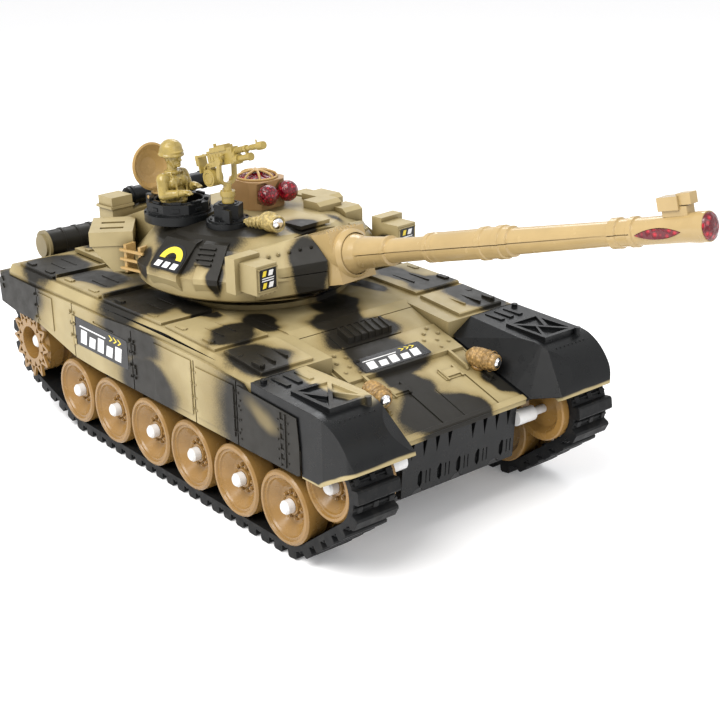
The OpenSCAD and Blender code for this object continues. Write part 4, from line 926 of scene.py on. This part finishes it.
def add_searchlight():
    faced = Matrix.Rotation(math.radians(SEARCHLIGHT_TURN), 4, "Z")
    lamp = Piece("searchlight_housing", TURRET_MM @ Matrix.Translation(SEARCHLIGHT_AT) @ faced)
    lamp.turned(lamp_profile(12.6, 4.4, 3.2), "scaly_gold", (9.9, 0, 3.4), (1, 0, 0), 36)
    glass = ((0, -0.6), (3.1, -0.6), (3.1, 0.1), (2.4, 0.55), (1.3, 0.8), (0, 0.9))
    lamp.turned(glass, "chrome", (9.7, 0, 3.4), (1, 0, 0), 32)
    turned = Matrix.Rotation(math.radians(SEARCHLIGHT_ARM_TURN), 4, "Z")
    lamp.limb((-1, 0, 2.6), turned @ Vector((11, 0, 1.4)), 3.4, 1.9, "scaly_gold")
    for k in range(4):
        at = turned @ Vector((3 + k * 2.1, 0, 2.2 - 0.2 * k))
        lamp.ring(at, 3.1 - 0.3 * k, 0.4, "scaly_gold", ahead=turned @ Vector((1, 0, 0)))
    foot = ((0, -0.6), (3.0, -0.6), (3.0, 0.6), (2.2, 1.2), (0, 1.2))
    lamp.turned(foot, "mustard", (-2, 0, 0), (0, 0, 1), 24)
    lamp.done("turret", "searchlight", slot="mustard_plastic")


# ---- Receiver dome ----------------------------------------------------


def add_receiver_dome():
    dome = Piece("receiver_dome", TURRET_MM)
    centre = Vector(RECEIVER_AT)
    profile = [(0, 0), (10.4, 0), (10.6, 0.4), (10.6, 1.9)]
    for k in range(7):
        r = 10.1 - 1.25 * k
        profile += [(r, 2.1 + 0.3 * k), (r - 0.45, 2.55 + 0.3 * k), (r - 0.8, 2.15 + 0.3 * k)]
    profile += [(0.8, 4.3), (0, 4.4)]
    dome.turned(profile, "ruby", centre, (0, 0, 1), 48)
    for k in range(24):
        turn = math.radians(15 * k)
        out = Vector((math.cos(turn), math.sin(turn), 0))
        rim, hub = centre + out * 9.9 + Vector((0, 0, 2.1)), centre + out * 2 + Vector((0, 0, 4.2))
        dome.rod(0.25, rim, hub, "ruby", 8)
    dome.done("turret", "receiver_lens", slot="red_lens")
    cage = Piece("receiver_cage", TURRET_MM)
    cage.ring(centre + Vector((0, 0, 2.5)), 10.1, 0.6, "peach")
    cage.turned(((0, 5.2), (2.2, 5.2), (2.6, 5.6), (2.2, 6.1), (0, 6.3)), "peach", centre, (0, 0, 1), 24)
    for k in range(8):
        turn = math.radians(45 * k + 12)
        out = Vector((math.cos(turn), math.sin(turn), 0))
        line = [
            centre + out * 10 * math.cos(a) + Vector((0, 0, 2.5 + 3.2 * math.sin(a)))
            for a in (0, 0.4, 0.8, 1.2, 1.4)
        ]
        for a, b in zip(line, line[1:]):
            cage.limb(a, b, 0.62, 0.62, "peach")
    cage.done("turret", slot="peach_plastic")


# ---- Machine gun, hatch and cupola fittings ---------------------------


def add_gun_fittings():
    gun = Piece("machine_gun_fittings", MG_MM)
    # Rings on the barrel: how many, where they start, their spacing, radius and tube
    rings = ((5, 9.6, 1.1, 1.25, 0.28), (4, 20, 1.1, 1.2, 0.22), (3, 25.8, 1.2, 1.75, 0.22))
    for count, start, step, radius, tube in rings:
        for k in range(count):
            gun.ring((start + k * step, 0, 3.4), radius, tube, "mustard", ahead=(1, 0, 0), segments=20)
    gun.block((24.2, -0.3, 4.4), (24.9, 0.3, 6.6), "mustard")
    gun.block((-6.6, -0.7, 6.8), (-5.6, 0.7, 8.6), "mustard")
    gun.block((-3.4, -1.9, 6.8), (3.2, 1.9, 7.5), "mustard")
    for k in range(5):
        gun.block((-9.6 + k * 2.2, -2.45, 0.4), (-8.6 + k * 2.2, 2.45, 3.6), "mustard", edge=0.15)
    gun.rod(0.5, (2, -2, 2.6), (2, -3.9, 2.6), "mustard")
    gun.rod(0.75, (2, -3.7, 2.6), (2, -4.4, 2.6), "mustard")
    for s in (-1, 1):
        gun.rod(0.75, (-19.4, s * 2.2, 4.8), (-19.4, s * 2.2, -0.4), "mustard")
        for x, z in ((-9.4, -1.2), (6.6, -1.2), (6.6, 4.6), (-9.4, 4.4)):
            gun.rod(0.42, (x, s * 2.1, z), (x, s * 2.5, z), "mustard", 12)
    for k in range(9):
        a = math.radians(200 - k * 18)
        at = Vector((-12.6 + 4.8 * math.cos(a) * 0.7, 0, -4.2 + 3.4 * math.sin(a)))
        gun.rod(0.42, at - Vector((0, 2.2, 0)), at + Vector((0, 2.2, 0)), "mustard", 10)
    for y in (-3.05, 3.05):
        gun.ring((-12.6, y, -7), 2.9, 0.3, "mustard", ahead=(0, 1, 0), segments=28)
    gun.done("mg", slot="mustard_plastic")


def add_hatch_fittings():
    leant = Matrix.Rotation(math.radians(HATCH_LEAN), 4, "Y")
    lid = Piece("hatch_fittings", TURRET_MM @ Matrix.Translation(HATCH_AT) @ leant)
    lid.ring((-0.4, 0, 14.5), 11.2, 0.35, "peach", ahead=(1, 0, 0))
    lid.ring((-2.6, 0, 14.5), 6.2, 0.3, "peach", ahead=(1, 0, 0))
    for k in range(8):
        a = math.radians(45 * k + 22)
        y, z = 9 * math.cos(a), 14.5 + 9 * math.sin(a)
        lid.rod(0.5, (-1.6, y, z), (-0.9, y, z), "peach", 12)
    lid.done("hatch", slot="peach_plastic")


def add_cupola_fittings():
    ring = Piece("cupola_fittings", TURRET_MM @ Matrix.Translation(CUPOLA_AT))
    for k in range(8):
        turn = Matrix.Rotation(math.radians(45 * k), 4, "Z")
        if k != 4:
            ring.block((12.6, -2.6, 8.2), (14.6, 2.6, 9.6), "black", turn, 0.4)
            ring.block((14.5, -1.9, 4.6), (15.4, 1.9, 6.4), "black", turn, 0.3)
        ring.rod(0.6, turn @ Vector((16.6, 3.4, 2.4)), turn @ Vector((16.6, 3.4, 3.3)), "black", 12)
    ring.ring((0, 0, 8.3), 12.2, 0.5, "black")
    ring.done("turret", slot="black_plastic")
    pedestal = Piece("pedestal_fittings", TURRET_MM @ Matrix.Translation(PEDESTAL_AT))
    for k in range(8):
        a = math.radians(45 * k + 20)
        x, y = 8.9 * math.cos(a), 8.9 * math.sin(a)
        pedestal.rod(0.6, (x, y, 2.7), (x, y, 3.5), "black", 12)
    pedestal.ring((0, 0, 10), 4.6, 0.5, "black")
    pedestal.done("turret", slot="black_plastic")


# ---- Skirt panels and guard liners ------------------------------------

# Outline of the foremost panel, in X and Z, and the middle of its hinge strip
FRONT_PANEL = ((62.5, 46.9), (105.8, 46.9), (105.8, 60), (104.4, 72.2), (62.5, 74.4))
HINGE_X = 95
LINER = ((73.5, 36), (121, 36), (121, 42), (73.5, 42))


def add_skirt_panels():
    """The foremost panel of each skirt with its hinge strip, and the strips under the mudguards' inner walls."""
    panels = Piece("skirt_front_panels", HULL_MM)
    liners = Piece("guard_liners", HULL_MM)
    for side in (-1, 1):
        panels.plate(FRONT_PANEL, 0.4, "skirt", lambda u, v, h: Vector((u, side * (SKIRT_FACE + h), v)))
        low, high = SKIRT_FACE + 0.3, SKIRT_FACE + 0.85
        for x in (HINGE_X - 1.6, HINGE_X + 1.6):
            panels.block((x - 0.35, side * low, 47.5), (x + 0.35, side * high, 71.5), "skirt", edge=0.15)
        for z in (50, 54.5, 59, 63.5, 68):
            corners = (HINGE_X - 1.1, side * low, z - 1), (HINGE_X + 1.1, side * high, z + 1)
            panels.block(*corners, "skirt", edge=0.2)
            for x in (HINGE_X - 3.4, HINGE_X + 3.4, 64.6):
                panels.rod(0.55, (x, side * low, z), (x, side * (high - 0.1), z), "skirt", 12)
        liners.plate(
            LINER, 1.4, "satin_black", lambda u, v, h: Vector((u, side * v, glacis_z(u) - 2.2 + h))
        )
    panels.done("hull", slot="camouflage_plastic")
    liners.done("hull", slot="black_plastic")


# ---- Track links ------------------------------------------------------

# The circles the belt runs round: middle X and Z, radius
TRACK_CIRCLES = ((-137.3, 39.6, 17.5), (-90, 25.5, 17.3), (90, 25.5, 17.3), (117.4, 44, 15.3))
# The belt's thickness, the number of links, the ends of the bars across it and the rows of studs on it
BAND, LINKS = 2.6, 64
BARS_Y, STUDS_Y = (53.9, 75.6), (56.4, 64.7, 73)


def track_path(count):
    """Points and outward directions, evenly spaced round the belt's loop."""
    circles = [(Vector((x, z)), r) for x, z, r in TRACK_CIRCLES]
    total = len(circles)
    normals = []
    for i, (here, r) in enumerate(circles):
        there, s = circles[(i + 1) % total]
        step = there - here
        u, q = step.normalized(), (r - s) / step.length
        normals.append(u * q + Vector((u.y, -u.x)) * math.sqrt(1 - q * q))
    legs = []
    for i, (here, r) in enumerate(circles):
        before, after = normals[i - 1], normals[i]
        turn = (math.atan2(after.y, after.x) - math.atan2(before.y, before.x)) % (2 * math.pi)
        run = (circles[(i + 1) % total][0] + after * circles[(i + 1) % total][1]) - (here + after * r)
        legs.append((turn * r, run))
    length = sum(arc + run.length for arc, run in legs)
    for k in range(count):
        s = k / count * length
        for i, (arc, run) in enumerate(legs):
            here, r = circles[i]
            if s < arc:
                a = math.atan2(normals[i - 1].y, normals[i - 1].x) + s / r
                out = Vector((math.cos(a), math.sin(a)))
                yield here + out * r, out
                break
            s -= arc
            if s < run.length:
                yield here + normals[i] * r + run.normalized() * s, normals[i]
                break
            s -= run.length


def add_track_links():
    for side, name in ((-1, "right"), (1, "left")):
        links = Piece(f"track_links_{name}", HULL_MM)
        for at, out in track_path(LINKS):
            along = Vector((-out.y, out.x))
            middle = at + out * (BAND + 0.1)
            ends = [Vector((middle.x, side * y, middle.y)) for y in BARS_Y]
            links.rod(0.75, ends[0], ends[1], "rubber", 10)
            place = Matrix((
                (out.x, 0, along.x, at.x), (0, 1, 0, 0), (out.y, 0, along.y, at.y), (0, 0, 0, 1),
            ))
            for y in STUDS_Y:
                low, high = (BAND - 0.3, side * y - 1.4, -1.5), (BAND + 1.3, side * y + 1.4, 1.5)
                links.block(low, high, "rubber", place, 0.4)
        links.done("hull", slot="track_rubber")


def add_all():
    add_hull_stickers()
    add_turret_stickers()
    add_crewman()
    add_headlights()
    add_searchlight()
    add_receiver_dome()
    add_gun_fittings()
    add_hatch_fittings()
    add_cupola_fittings()
    add_skirt_panels()
    add_track_links()


add_camera()
add_studio()
paint_nodes()
add_all()
